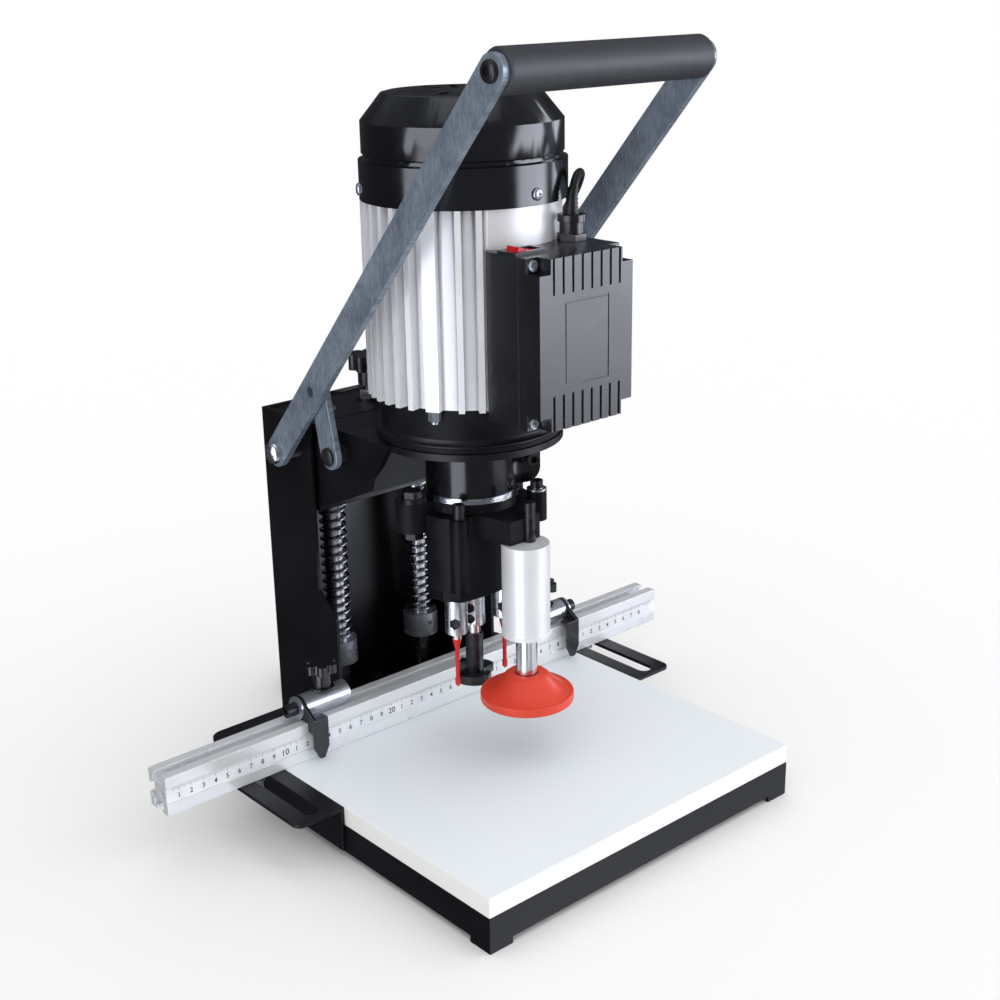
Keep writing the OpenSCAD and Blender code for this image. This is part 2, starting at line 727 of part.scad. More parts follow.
// Flip finger: an eye on the finger bolt, a web over the fence and a pointed plate in front of it
module stop_finger(end) {
    x0 = end + slide_gap;
    x1 = x0 + finger_t;
    plate_y = fence_front - 9;
    web_z = stop_z - 4;
    tip_z = fence_z + 2.5;
    color("#17181a") {
        difference() {
            union() {
                plate_on_x(x0, finger_t) union() {
                    polygon([[plate_y, web_z - 12], [plate_y, web_z], [fence_y - 3, stop_z + stop_d / 2 - 1],
                        [fence_y, stop_z - stop_d / 2], [fence_front - 0.5, stop_z - stop_d / 2],
                        [fence_front - 0.5, web_z - 12]]);
                    translate([fence_y, stop_z]) circle(d = stop_d);
                }
                translate([x1 - finger_w, plate_y, web_z - finger_t]) cube([finger_w, 9.4, finger_t]);
                translate([0, plate_y + finger_t, 0]) rotate([90, 0, 0]) linear_extrude(finger_t)
                    polygon([[x1 - finger_w, web_z], [x1, web_z], [x1, tip_z + 9], [x1 - finger_w / 3, tip_z],
                        [x1 - finger_w * 2 / 3, tip_z], [x1 - finger_w, tip_z + 9]]);
            }
            bar_on_x(end - 1, end + 10, fence_y, stop_z, stop_bolt_d / 2 + run_gap);
        }
    }
}

// Clamping knob of a stop, with its stud and washer
module stop_clamp(end) {
    mid = end - stop_l / 2;
    chamber = fence_top - slot_lip - slot_in_d;
    block_top = stop_z + stop_d / 2;
    hub_h = fence_y - fence_front + 11.3 - stop_d / 2 - 1.6 - slide_gap;
    color("#1b1c1f") translate([mid, fence_y, 0]) {
        translate([0, 0, chamber + 0.5]) cylinder(h = block_top + 3 - chamber, d = stop_bolt_d);
        translate([0, 0, block_top + slide_gap]) cylinder(h = 1.6, d = 19);
        translate([0, 0, block_top + slide_gap + 1.6]) star_knob(knob_d, 13.5, hub_h, 7, 6);
    }
}

module left_stop_block() mirror([1, 0, 0]) stop_block(stop_left);
module left_stop_finger() mirror([1, 0, 0]) stop_finger(stop_left);
module left_stop_knob() mirror([1, 0, 0]) stop_clamp(stop_left);
module right_stop_block() stop_block(stop_right);
module right_stop_finger() stop_finger(stop_right);
module right_stop_knob() stop_clamp(stop_right);

// Carriage: two cheeks, the motor's ring plate and the box round the guide bushes, welded together
module carriage_cheek() {
    difference() {
        polygon([[spindle_y + 1, ring_top], [spindle_y + 13, head_z - 12], [spindle_y + 26, head_z - 26],
            [spindle_y + 28, head_z - 34], [spindle_y + 66, head_z - 52], [rod_y - 22, bush_box_z + 4],
            [rod_y - 18, bush_box_z], [rod_y + 22, bush_box_z], [rod_y + 22, bush_box_top],
            [column_front + 19, bush_box_top], [column_front + 19, ring_top]]);
        translate([link_y, link_z]) circle(d = pivot_d);
    }
}

module carriage() {
    box_y0 = rod_y - bush_box_d / 2;
    box_y1 = rod_y + bush_box_d / 2;
    color("#191a1d") difference() {
        union() {
            both_sides() plate_on_x(cheek_x, cheek_t) carriage_cheek();
            translate([0, 0, head_z]) linear_extrude(ring_t) union() {
                translate([0, spindle_y]) circle(cheek_x);
                translate([-cheek_x - eps, spindle_y]) square([2 * (cheek_x + eps),
                    column_front + 19 - spindle_y]);
            }
            slab([-cheek_x - eps, column_front + 13, bush_box_top - bush_box_wall],
                 [cheek_x + eps, column_front + 19, head_z + eps]);
            slab([-cheek_x - eps, column_front + 13, bush_box_top - bush_box_wall],
                 [cheek_x + eps, box_y0 + 2, bush_box_top]);
            difference() {
                slab([-cheek_x - eps, box_y0, bush_box_z], [cheek_x + eps, box_y1, bush_box_top]);
                slab([-cheek_x + 1, box_y0 + bush_box_wall, bush_box_z + bush_box_wall],
                     [cheek_x - 1, box_y1 - bush_box_wall, bush_box_top - bush_box_wall]);
            }
            for (x = [-rod_x, rod_x]) translate([x, rod_y, bush_box_z])
                cylinder(h = bush_box_h, r = rod_d / 2 + bush_wall + 4);
        }
        for (x = [-rod_x, rod_x]) translate([x, rod_y, bush_box_z - 1])
            cylinder(h = bush_box_h + 2, r = rod_d / 2 + bush_wall);
        translate([0, spindle_y, head_z - 1]) cylinder(h = ring_t + 2, r = sleeve_d / 2 + 0.5);
    }
}

// Flanged bushes that run on the guide rods
module guide_bushes() {
    color("#7d8289") for (x = [-rod_x, rod_x]) translate([x, rod_y, spring_top]) difference() {
        union() {
            cylinder(h = bush_flange_t + bush_box_h, r = rod_d / 2 + bush_wall);
            cylinder(h = bush_flange_t, r = rod_d / 2 + bush_wall + 3);
        }
        translate([0, 0, -1]) cylinder(h = bush_box_h + bush_flange_t + 2, r = rod_d / 2 + run_gap);
    }
}

// Motor's lower end bell, with the flange that stands on the ring plate and the spigot below it
module motor_end_bell() {
    bell_r = motor_r - 9;
    color("#17181b") translate([0, spindle_y, 0]) difference() {
        union() {
            translate([0, 0, ring_top]) cylinder(h = 4, r = motor_r - 5);
            translate([0, 0, ring_top]) cylinder(h = bell_h, r = bell_r);
            translate([0, 0, ring_top - 19]) cylinder(h = 20, d = spigot_d);
        }
        translate([0, 0, ring_top + 14]) cylinder(h = bell_h, r = bell_r - 5);
        translate([0, 0, ring_top + 2]) cylinder(h = 20, r = motor_bearing_r);
        translate([0, 0, ring_top - 20]) cylinder(h = 30, r = shaft_d / 2 + 2);
    }
}

// Finned aluminium barrel with its upper end shield
motor_bearing_r = 16;
barrel_r = motor_r - fin_h;
bore_r = barrel_r - 3.5;
view_turn = -130.1;
fin_first = -33.4;
pad_turn = -20.3;
fin_spots = [for (k = [0 : floor(240 / fin_step)]) fin_first - k * fin_step];
function near_pad(a) = min([for (p = [0, 120, 240]) abs(a - pad_turn + p)]) < 8;
module motor_housing() {
    color("#dfe1e4") translate([0, spindle_y, 0]) {
        difference() {
            union() {
                translate([0, 0, barrel_z]) linear_extrude(barrel_h) union() {
                    circle(barrel_r);
                    for (a = concat([7.5, -3.8], [for (a = fin_spots) if (!near_pad(a)) a]))
                        rotate(view_turn + a) translate([barrel_r - 3, -fin_w / 2]) square([fin_h + 2.9,
                            fin_w]);
                    for (p = [0, 120, 240]) if (p != 240) rotate(view_turn + pad_turn - p)
                        translate([barrel_r - 3, -5]) square([fin_h + 2, 10]);
                }
                translate([0, 0, barrel_z]) rotate([0, 0, -119.5])
                    rotate_extrude(angle = 76) translate([barrel_r - 3, 0]) square([pad_r - barrel_r + 3,
                        barrel_h]);
            }
            translate([0, 0, barrel_z - 1]) cylinder(h = barrel_h - 5, r = bore_r);
            translate([0, 0, barrel_z - 1]) cylinder(h = barrel_h + 2, r = motor_bearing_r);
        }
        translate([0, 0, barrel_top - 12]) difference() {
            cylinder(h = 12, r = motor_bearing_r + 4);
            translate([0, 0, -1]) cylinder(h = 14, r = motor_bearing_r);
        }
    }
}

// Stator: laminated ring with the winding heads
rotor_r = 36;
core_h = 90;
core_z = barrel_z + 24;
module stator() {
    color("#8a4b2a") translate([0, spindle_y, 0]) difference() {
        union() {
            translate([0, 0, core_z]) cylinder(h = core_h, r = bore_r);
            translate([0, 0, core_z - 14]) cylinder(h = core_h + 28, r = bore_r - 5);
        }
        translate([0, 0, core_z - 20]) cylinder(h = core_h + 40, r = rotor_r + 0.6);
    }
}

// Fan cover: pressed shell with a lower band, a groove and a chamfered top with vents
module fan_cover() {
    band = cover_band_h;
    neck = motor_r - 2.3;
    crown = motor_r - 21;
    w = cover_wall;
    outer = [[motor_r, 0], [motor_r, band - 1], [motor_r - 3.5, band], [motor_r - 3.5, band + 2.5],
        [neck, band + 3.5], [neck, cover_h - 19], [crown + 4, cover_h - 1], [crown, cover_h], [0, cover_h]];
    inner = [[0, cover_h - w], [crown - 1, cover_h - w], [neck - w, cover_h - 20], [neck - w - 2, band + 2],
        [motor_r - 3.5 - w, band - 2], [motor_r - w, band - 3], [motor_r - w, 0]];
    color("#0f1012") translate([0, spindle_y, barrel_top]) difference() {
        rotate_extrude() polygon(concat(outer, inner));
        for (i = [0 : 11]) rotate([0, 0, i * 30]) slab([20, -2.5, cover_h - 10], [44, 2.5, cover_h + 1]);
        cover_screw_turns() translate([motor_r - 10, 0, 7.5]) rotate([0, 90, 0]) cylinder(h = 20, d = 4.2);
    }
}

module cover_screw_turns() {
    for (a = [42, -80, 161]) rotate([0, 0, view_turn + a]) children();
}

// Screws of the fan cover, tie bolts of the motor and corner screws of the switch box
module motor_screws() {
    color("#b4bac2") {
        translate([0, spindle_y, barrel_top]) cover_screw_turns() translate([motor_r, 0, 7.5]) rotate([0,
            90, 0]) {
            translate([0, 0, -9]) cylinder(h = 9, d = 4);
            dome(4.3, 2.6);
        }
        for (p = [0, 120]) translate([0, spindle_y, 0]) rotate([0, 0, view_turn + pad_turn - p])
            translate([barrel_r + 3.5, 0, barrel_z - 9]) {
                translate([0, 0, 2]) hexagon(8, 7);
                cylinder(h = 9, d = 5);
            }
        box_corners() {
            rotate([90, 0, 0]) cylinder(h = 2, d = 7.6);
            translate([0, 2.4 + tab_d, 0]) rotate([90, 0, 0]) cylinder(h = 2.4 + tab_d, d = 3.6);
        }
    }
}

// Switch box: back shell that follows the barrel, with openings for the switch and the gland
tab_d = 8;
box_left = box_x - box_w / 2;
box_right = box_x + box_w / 2;
module box_corners() {
    inset = box_notch / 2;
    for (x = [box_left + inset, box_right - inset]) for (z = [box_bottom + inset, box_top - inset])
        translate([x, box_y - tab_d, z]) children();
}

module barrel_round(r, z0, z1) {
    translate([0, spindle_y, z0]) cylinder(h = z1 - z0, r = r);
}

switch_body = [22, 12];
module switch_box() {
    t = box_wall;
    color("#131416") difference() {
        slab([box_left, box_y, box_bottom], [box_right, box_back, box_top]);
        barrel_round(pad_r + 0.2, box_bottom - 1, box_top + 1);
        slab([box_left - 1, box_back - 7.5, box_bottom - 1], [box_left + t + 0.3, box_back + 1, box_top + 1]);
        difference() {
            slab([box_left + t, box_y - 1, box_bottom + t], [box_right - t, box_back + 1, box_top - t]);
            barrel_round(pad_r + 0.2 + t, box_bottom, box_top);
        }
        slab([rocker_x - switch_body[0] / 2 - 1.5, rocker_y - switch_body[1] / 2 - 1, box_top - t - 1],
             [rocker_x + switch_body[0] / 2 + 1.5, rocker_y + switch_body[1] / 2 + 1, box_top + 1]);
        translate([gland_x, gland_y, box_top - t - 1]) cylinder(h = t + 2, d = 12);
    }
}

// Ribbed cover of the switch box, with notched corners and rows of vent slots
module cover_cross(inset, y0, y1) {
    n = box_notch;
    slab([box_left + n + inset, y0, box_bottom + inset], [box_right - n - inset, y1, box_top - inset]);
    slab([box_left + inset, y0, box_bottom + n + inset], [box_right - inset, y1, box_top - n - inset]);
}

module switch_cover() {
    t = box_wall;
    vent_h = 24;
    vent_w = 2;
    frame_w = 41;
    frame_h = 57;
    color("#17181b") difference() {
        union() {
            cover_cross(0, box_front, box_y);
            slab([box_left, box_y - tab_d, box_bottom], [box_right, box_y, box_top]);
        }
        cover_cross(t, box_front + t, box_y + 1);
        for (i = [0 : vent_count - 1]) {
            x = box_x + (i - (vent_count - 1) / 2) * vent_pitch;
            for (z = [box_top - vent_h, box_bottom - 1])
                slab([x - vent_w / 2, box_front - 1, z], [x + vent_w / 2, box_front + 1.2, z + vent_h + 1]);
        }
        difference() {
            slab([box_x - frame_w / 2, box_front - 1, (box_top + box_bottom - frame_h) / 2],
                 [box_x + frame_w / 2, box_front + 0.5, (box_top + box_bottom + frame_h) / 2]);
            slab([box_x - frame_w / 2 + 1.2, box_front - 2, (box_top + box_bottom - frame_h) / 2 + 1.2],
                 [box_x + frame_w / 2 - 1.2, box_front + 1, (box_top + box_bottom + frame_h) / 2 - 1.2]);
        }
        box_corners() rotate([-90, 0, 0]) cylinder(h = tab_d + 1, d = 3.6);
    }
}

// Snap-in frame of the rocker switch
module switch_frame() {
    sx = switch_body[0] / 2;
    sy = switch_body[1] / 2;
    color("#0c0c0e") difference() {
        union() {
            slab([rocker_x - sx - 4, rocker_y - sy - 3, box_top], [rocker_x + sx + 4, rocker_y + sy + 3,
                box_top + 2]);
            slab([rocker_x - sx - 1.5, rocker_y - sy - 1, box_top - 22], [rocker_x + sx + 1.5,
                rocker_y + sy + 1, box_top]);
        }
        slab([rocker_x - sx - 0.5, rocker_y - sy, box_top - 12], [rocker_x + sx + 0.5, rocker_y + sy,
            box_top + 3]);
        translate([rocker_x, rocker_y + sy + 1.01, rocker_z]) rotate([90, 0, 0])
            cylinder(h = 2 * sy + 2.02, r = rocker_pin_r + run_gap);
    }
}

// Red rocker, pressed down at one end, with the pin that it tips on
rocker_z = box_top - 1;
rocker_pin_r = 1.2;
module rocker() {
    sx = switch_body[0] / 2 - 0.4;
    sy = switch_body[1] / 2 - 0.3;
    pin = switch_body[1] / 2 + 0.9;
    color("#d8202a") translate([rocker_x, rocker_y, rocker_z]) rotate([90, 0, 0]) {
        translate([0, 0, -sy]) linear_extrude(2 * sy)
            polygon([[-sx, 0], [1.6 - sx, 6], [0, 2.6], [sx, 1.6], [sx, -3], [0, -5]]);
        translate([0, 0, -pin]) cylinder(h = 2 * pin, r = rocker_pin_r);
    }
}

// Start capacitor inside the switch box
module start_capacitor() {
    can_r = box_w / 2 - 28;
    can_h = box_h * 0.6;
    color("#d9d9d6") translate([box_right - box_notch - box_wall - 0.5 - can_r, box_y + 0.5,
        box_bottom + box_wall + 0.3]) {
        cylinder(h = can_h, r = can_r);
        for (x = [-5, 5]) translate([x, 0, can_h]) cylinder(h = 5, r = 1.6);
    }
}

// Cable gland on the box's top
module cable_gland() {
    color("#141517") translate([gland_x, gland_y, box_top]) {
        translate([0, 0, -box_wall - 4]) cylinder(h = box_wall + 5, d = 11.8);
        translate([0, 0, -box_wall - 4]) hexagon(13.5, 4);
        hexagon(gland_d * 0.93, 5);
        cylinder(h = gland_h - 4, d = gland_d * 0.86);
        translate([0, 0, gland_h - 5]) cylinder(h = 5, d = gland_d);
    }
}

// Split sleeve that clamps the gearbox to the motor's spigot, with its lug and screw
lug_turn = -20;
lug_r = 11.3;
lug_w = 22;
lug_reach = sleeve_d / 2 + 7;
clamp_spot = sleeve_d / 2 + 9.5;
clamp_z = sleeve_z + 20;
module clamp_sleeve() {
    color("#141518") translate([0, spindle_y, 0]) difference() {
        union() {
            translate([0, 0, sleeve_z]) cylinder(h = sleeve_h - 0.3, d = sleeve_d);
            rotate([0, 0, lug_turn]) translate([0, lug_w / 2, 0]) rotate([90, 0, 0])
                linear_extrude(lug_w) union() {
                lobes([lug_reach, sleeve_z + lug_r + 0.3], lug_r, [lug_reach, clamp_z + 1], lug_r);
                translate([sleeve_d / 2 - 5, sleeve_z + 0.3]) square([12, clamp_z + lug_r + 0.7 - sleeve_z]);
            }
        }
        translate([0, 0, sleeve_z - 1]) cylinder(h = sleeve_h + 2, d = spigot_d);
        rotate([0, 0, lug_turn]) slab([spigot_d / 2 - 5, -1.5, sleeve_z - 1], [sleeve_d / 2 + 20, 1.5,
            ring_top + 1]);
        rotate([0, 0, lug_turn]) translate([clamp_spot, 20, clamp_z]) rotate([90, 0, 0]) cylinder(h = 40,
            d = 6.4);
    }
}

// Gearbox casting
side_spots = [[-dowel_x, spindle_y - dowel_y], [dowel_x, spindle_y - dowel_y]];
centre_spot = [0, spindle_y];
ear_spots = [[-46, spindle_y + 12], [46, spindle_y + 12]];
front_spots = [[-34.5, spindle_y - 27], [34.5, spindle_y - 35]];
ear_top = gearbox_top - 3;
web_top = gearbox_top - 11;
front_seats = [web_top, ear_top];
foot_stud_d = 9;
foot_stud_x = 4;
function side_of(p, s) = [s * p[0], p[1]];
module gearbox_housing() {
    cavity_r = gear_r + 1.4;
    body_z = gearbox_z + cover_plate_t;
    spindle_r = spindle_d / 2;
    color("#141518") difference() {
        union() {
            translate([0, 0, body_z]) linear_extrude(web_top - body_z) union() {
                gearbox_outline();
                translate(front_spots[0]) circle(r = 7);
            }
            translate([0, 0, flange_z]) linear_extrude(ear_top - flange_z) union() {
                lobes(ear_spots[0], 13, ear_spots[1], 13);
                translate(centre_spot) circle(36);
            }
            translate([0, 0, flange_z]) linear_extrude(web_top - flange_z) lobes(centre_spot, 30,
                front_spots[1], 7);
            translate([front_spots[1][0], front_spots[1][1], flange_z])
                cylinder(h = ear_top - flange_z, r = 7.5);
            translate([0, 0, foot_top_z + 0.4]) linear_extrude(web_top - foot_top_z) difference() {
                lobes(centre_spot, 28, [0, press_y], 14);
                translate([-40, press_y - 40]) square([80, 40]);
            }
            translate([0, spindle_y, gearbox_top - 4]) cylinder(h = 4, d = sleeve_d - 3);
            translate([0, spindle_y, gearbox_top - 1]) cylinder(h = 22, d = spigot_d);
        }
        translate([0, 0, body_z - 1]) linear_extrude(gear_z + gear_h + 2 - body_z + 1) union() {
            translate(centre_spot) circle(cavity_r);
            for (p = side_spots) translate(p) circle(cavity_r);
        }
        for (p = concat([centre_spot], side_spots)) translate([p[0], p[1], gear_z + gear_h + 1])
            cylinder(h = bearing_h + 1, r = bearing_r);
        for (p = side_spots) translate([p[0], p[1], gear_z + gear_h + 1]) cylinder(h = bearing_h + 4,
            r = spindle_r + 2);
        translate([0, spindle_y, gear_z]) cylinder(h = 80, r = shaft_d / 2 + 2);
        for (p = concat(ear_spots, front_spots)) translate([p[0], p[1], flange_z - 2]) cylinder(h = 40,
            d = 8.4);
        translate([foot_stud_x, press_y, foot_top_z]) cylinder(h = 40, d = foot_stud_d);
    }
}

gearbox_half = [[24, -31], [36, -29], [44, -18], [46, -3], [33, 11], [20, 24]];
module gearbox_outline() {
    translate(centre_spot) polygon(concat(gearbox_half, [for (i = [5 : -1 : 0]) side_of(gearbox_half[i],
        -1)]));
}

// Machined cover under the gears, with the lower bearings
module gearbox_cover() {
    color("#c6cad0") difference() {
        translate([0, 0, gearbox_z]) linear_extrude(cover_plate_t) gearbox_outline();
        for (p = concat([centre_spot], side_spots)) translate([p[0], p[1], gearbox_z]) {
            translate([0, 0, 1]) cylinder(h = cover_plate_t, r = bearing_r);
            translate([0, 0, -1]) cylinder(h = cover_plate_t, r = spindle_d / 2 + 2);
        }
    }
}

// Hexagon bolts of the gearbox's ears and front bosses, the foot's bolt and the sleeve's clamp screw
module gearbox_bolts() {
    color("#2a2c30") {
        for (p = ear_spots) translate([p[0], p[1], 0]) {
            translate([0, 0, flange_z - 7]) {
                cylinder(h = ear_top - flange_z + 8, d = 8);
                hexagon(13, 6.5);
            }
            translate([0, 0, ear_top]) cylinder(h = 1.6, d = 17);
            translate([0, 0, ear_top + 1.6]) hexagon(13, 5.5);
        }
        for (i = [0, 1]) translate([front_spots[i][0], front_spots[i][1], 0]) {
            translate([0, 0, flange_z - 1]) cylinder(h = front_seats[i] - flange_z + 2, d = 8);
            translate([0, 0, front_seats[i]]) cylinder(h = i == 0 ? 11 : 7.6, d = 9.5);
        }
        translate([front_spots[1][0], front_spots[1][1], ear_top]) cylinder(h = 1.6, d = 15);
        translate([foot_stud_x, press_y, foot_top_z - 1]) cylinder(h = 31, d = foot_stud_d);
        translate([0, spindle_y, 0]) rotate([0, 0, lug_turn]) translate([clamp_spot, 0, clamp_z])
            rotate([90, 0, 0]) {
            translate([0, 0, -lug_w / 2 - 1]) cylinder(h = lug_w + 2, d = 6);
            translate([0, 0, -lug_w / 2 - 5]) hexagon(10, 5);
            translate([0, 0, lug_w / 2]) cylinder(h = 1.5, d = 13);
            translate([0, 0, lug_w / 2 + 1.5]) cylinder(h = 7, d = 10);
        }
    }
}

// A bearing drawn as one ring
module bearing(p, z, h, r, shaft_r) {
    translate([p[0], p[1], z]) difference() {
        cylinder(h = h, r = r);
        translate([0, 0, -1]) cylinder(h = h + 2, r = shaft_r + run_gap);
    }
}

module bearings() {
    color("#aeb4bc") {
        bearing(centre_spot, ring_top + 2, 11.8, motor_bearing_r, shaft_d / 2);
        bearing(centre_spot, barrel_top - 11, 11, motor_bearing_r, shaft_d / 2);
        for (p = concat([centre_spot], side_spots)) {
            bearing(p, gearbox_z + 1, bearing_h, bearing_r, spindle_d / 2);
            bearing(p, gear_z + gear_h + 2, bearing_h, bearing_r, spindle_d / 2);
        }
    }
}

// Press foot: cylinder with a guide bore below and a spring chamber above
foot_chamber_r = foot_cyl_d / 2 - 5;
foot_collar_z = foot_cyl_z + 10 + 0.3;
module foot_cylinder() {
    color("#cdd0d4") translate([0, press_y, 0]) difference() {
        union() {
            translate([0, 0, foot_cyl_z]) cylinder(h = foot_cyl_l, d = foot_cyl_d);
            translate([0, 0, foot_cyl_z]) cylinder(h = 2.5, d = foot_cyl_d + 1.5);
        }
        translate([0, 0, foot_cyl_z - 1]) cylinder(h = 20, r = foot_rod_d / 2 + run_gap);
        translate([0, 0, foot_cyl_z + 10]) cylinder(h = foot_cyl_l - 16, r = foot_chamber_r);
        translate([foot_stud_x, 0, foot_top_z - 1]) cylinder(h = 2, d = foot_stud_d);
    }
}

module foot_spring() {
    z0 = foot_collar_z + 6.2;
    color("#9aa1aa") translate([0, press_y, z0]) difference() {
        cylinder(h = foot_top_z - 6.2 - z0, r = foot_chamber_r - 0.6);
        translate([0, 0, -1]) cylinder(h = foot_cyl_l, r = foot_chamber_r - 3);
    }
}

module foot_rod() {
    color("#d5d8dc") translate([0, press_y, 0]) {
        translate([0, 0, foot_rim_z + 10]) cylinder(h = foot_collar_z + 6 - foot_rim_z - 10, d = foot_rod_d);
        translate([0, 0, foot_collar_z]) cylinder(h = 6, r = foot_chamber_r - 0.5);
        translate([0, 0, foot_collar_z]) cylinder(h = 6 + foot_travel, r = foot_chamber_r - 5);
    }
}

module foot_cup() {
    r = foot_cup_d / 2;
    rod_r = foot_rod_d / 2;
    skirt = [[r - 1.2, 7.6], [r - 2.2, 7.3], [r - 5, 8.4], [r - 8.5, 10.4], [r - 12, 13.2], [r - 15.5, 16.8],
        [r - 18, 19.6], [r - 20, 21.2], [r - 21.5, 21.7]];
    color("#cf2f1e") translate([0, press_y, foot_rim_z]) rotate_extrude()
        polygon(concat([[r - 3, 0], [r, 0.8], [r, 6.7]], skirt, [[rod_r + 0.8, 21.7], [rod_r, 19.7],
            [rod_r, 10], [0, 10], [0, 7], [rod_r + 3, 7], [r - 8, 3]]));
}

// Outline of a spur gear with a tooth on its first axis
module gear_outline() {
    m = gear_module;
    root = gear_r - 0.95 * m;
    tip = gear_r + 0.7 * m;
    step = 360 / gear_teeth;
    polygon([for (i = [0 : gear_teeth - 1]) for (p = [[root, -0.27], [tip, -0.1], [tip, 0.1], [root, 0.27]])
        p[0] * [cos((i + p[1]) * step), sin((i + p[1]) * step)]]);
}

mesh_turn = atan2(-dowel_y, dowel_x);
function mesh_lag(turn) = turn + 180 + (turn - mesh_turn) - 180 / gear_teeth;

// Rotor on the motor shaft, with the blind bore that drives the gearbox
module rotor() {
    color("#9ea4ab") translate([0, spindle_y, 0]) difference() {
        union() {
            translate([0, 0, gearbox_top - 12]) cylinder(h = cover_top - 32 - gearbox_top + 12, d = shaft_d);
            translate([0, 0, core_z]) cylinder(h = core_h, r = rotor_r);
            translate([0, 0, core_z - 6]) cylinder(h = core_h + 12, r = rotor_r - 6);
        }
        translate([0, 0, gearbox_top - 13]) cylinder(h = 21, r = spindle_d / 2 - 1);
    }
}

// Cooling fan under the cover
module cooling_fan() {
    fan_z = barrel_top + 10;
    color("#3a3d42") translate([0, spindle_y, fan_z]) difference() {
        union() {
            cylinder(h = 16, r = 14);
            cylinder(h = 2, r = motor_r - 17);
            for (i = [0 : 7]) rotate([0, 0, i * 45]) slab([12, -1, 0], [motor_r - 15, 1, 16]);
        }
        translate([0, 0, -1]) cylinder(h = 20, d = shaft_d);
    }
}

// Main spindle: pilot, gear and chuck on one shaft
module centre_spindle() {
    chuck_z = gearbox_z - chuck_l - 2;
    color("#c2c6cb") translate([0, spindle_y, 0]) difference() {
        union() {
            translate([0, 0, gearbox_z - 1]) cylinder(h = gearbox_top - 12.2 - gearbox_z + 1, d = spindle_d);
            translate([0, 0, gearbox_z]) cylinder(h = gearbox_h + 7, r = spindle_d / 2 - 1);
            translate([0, 0, gear_z]) rotate([0, 0, mesh_turn]) linear_extrude(gear_h) gear_outline();
            translate([0, 0, chuck_z]) cylinder(h = gearbox_z - 0.6 - chuck_z, d = chuck_d);
        }
        translate([0, 0, chuck_z - 1]) cylinder(h = 22, d = spindle_d);
        for (z = [6, 15]) translate([0, 0, chuck_z + z]) rotate([0, 90, view_turn - 20])
            translate([0, 0, chuck_d / 2 - 2.4]) cylinder(h = 5, d = 7.5);
    }
}

// Hinge cutter: shank, neck and a head with two gullets
cutter_turn = view_turn - 16;
module hinge_cutter() {
    rim_z = gearbox_z - chuck_l - 2 - cutter_l;
    function way(r, a) = r * [cos(a), sin(a)];
    color("#1d1e21") translate([0, spindle_y, rim_z]) rotate([0, 0, cutter_turn]) {
        difference() {
            cylinder(h = cutter_h, d = cutter_d);
            for (a = [90, 270]) translate([0, 0, -1]) linear_extrude(cutter_h + 2)
                polygon([way(7, a), way(cutter_d, a - 61), way(cutter_d * 1.4, a), way(cutter_d, a + 61)]);
        }
        for (a = [0, 180]) rotate([0, 0, a]) slab([5, 10, -0.6], [13.5, 14.5, cutter_h + 1.4]);
        for (a = [0, 180]) rotate([0, 0, a]) slab([4, 5, 0], [9, 12, cutter_h]);
        translate([0, 0, -3]) cylinder(h = 4, r1 = 0.4, r2 = 2.4);
        translate([0, 0, cutter_h - 1]) cylinder(h = cutter_l - 7 - cutter_h, d = 13.5);
        translate([0, 0, cutter_h]) cylinder(h = cutter_l + 18 - cutter_h, d = spindle_d);
    }
}

// Dowel spindle: gear and chuck on one shaft
module dowel_spindle(p, turn) {
    color("#c2c6cb") translate([p[0], p[1], 0]) difference() {
        union() {
            translate([0, 0, gearbox_z - 1])
                cylinder(h = gear_z + gear_h + 2 + bearing_h - gearbox_z + 1, d = spindle_d);
            translate([0, 0, gear_z]) rotate([0, 0, mesh_lag(turn)]) linear_extrude(gear_h) gear_outline();
            translate([0, 0, gearbox_z - chuck_l]) cylinder(h = chuck_l - 0.6, d = chuck_d);
        }
        translate([0, 0, gearbox_z - chuck_l - 1]) cylinder(h = 21, d = bit_shank_d);
        translate([0, 0, gearbox_z - chuck_l + 9.5]) rotate([0, 90, view_turn - 6]) translate([0, 0,
            chuck_d / 2 - 1.8])
            hexagon(8, 4);
    }
}

// Drill bit: shank, tapered neck and cutting part
module dowel_bit(p) {
    chuck_z = gearbox_z - chuck_l;
    neck = 5.5;
    taper = 9;
    color("#d3262b") translate([p[0], p[1], 0]) {
        translate([0, 0, chuck_z - neck]) cylinder(h = neck + 20, d = bit_shank_d);
        translate([0, 0, chuck_z - neck - taper]) cylinder(h = taper, d1 = bit_d, d2 = bit_shank_d);
        translate([0, 0, chuck_z - bit_l]) cylinder(h = bit_l - neck - taper + eps, d = bit_d);
        translate([0, 0, chuck_z - bit_l]) cylinder(h = 5, d = bit_d + 1);
        translate([0, 0, chuck_z - bit_l - 2]) cylinder(h = 2, r1 = 0.3, r2 = bit_d / 2);
    }
}

module left_spindle() dowel_spindle(side_spots[0], 180 - mesh_turn);
module right_spindle() dowel_spindle(side_spots[1], mesh_turn);
module left_bit() dowel_bit(side_spots[0]);
module right_bit() dowel_bit(side_spots[1]);

// Handle bars with their pivot holes, link holes and grip bolt holes
module handle_bars() {
    color("#8b939c") both_sides() plate_on_x(bar_x, bar_t) difference() {
        lobes([pivot_y, pivot_z], handle_w / 2, [grip_y, grip_z], handle_w / 2);
        translate([pivot_y, pivot_z]) circle(r = pivot_d / 2 + run_gap);
        translate([arm_y, arm_z]) circle(d = 8);
        translate([grip_y, grip_z]) circle(d = 8);
    }
}

module grip() {
    color("#26282b") difference() {
        bar_on_x(-bar_x, bar_x, grip_y, grip_z, grip_d / 2);
        bar_on_x(-bar_x - 1, bar_x + 1, grip_y, grip_z, grip_rod_d / 2);
    }
}

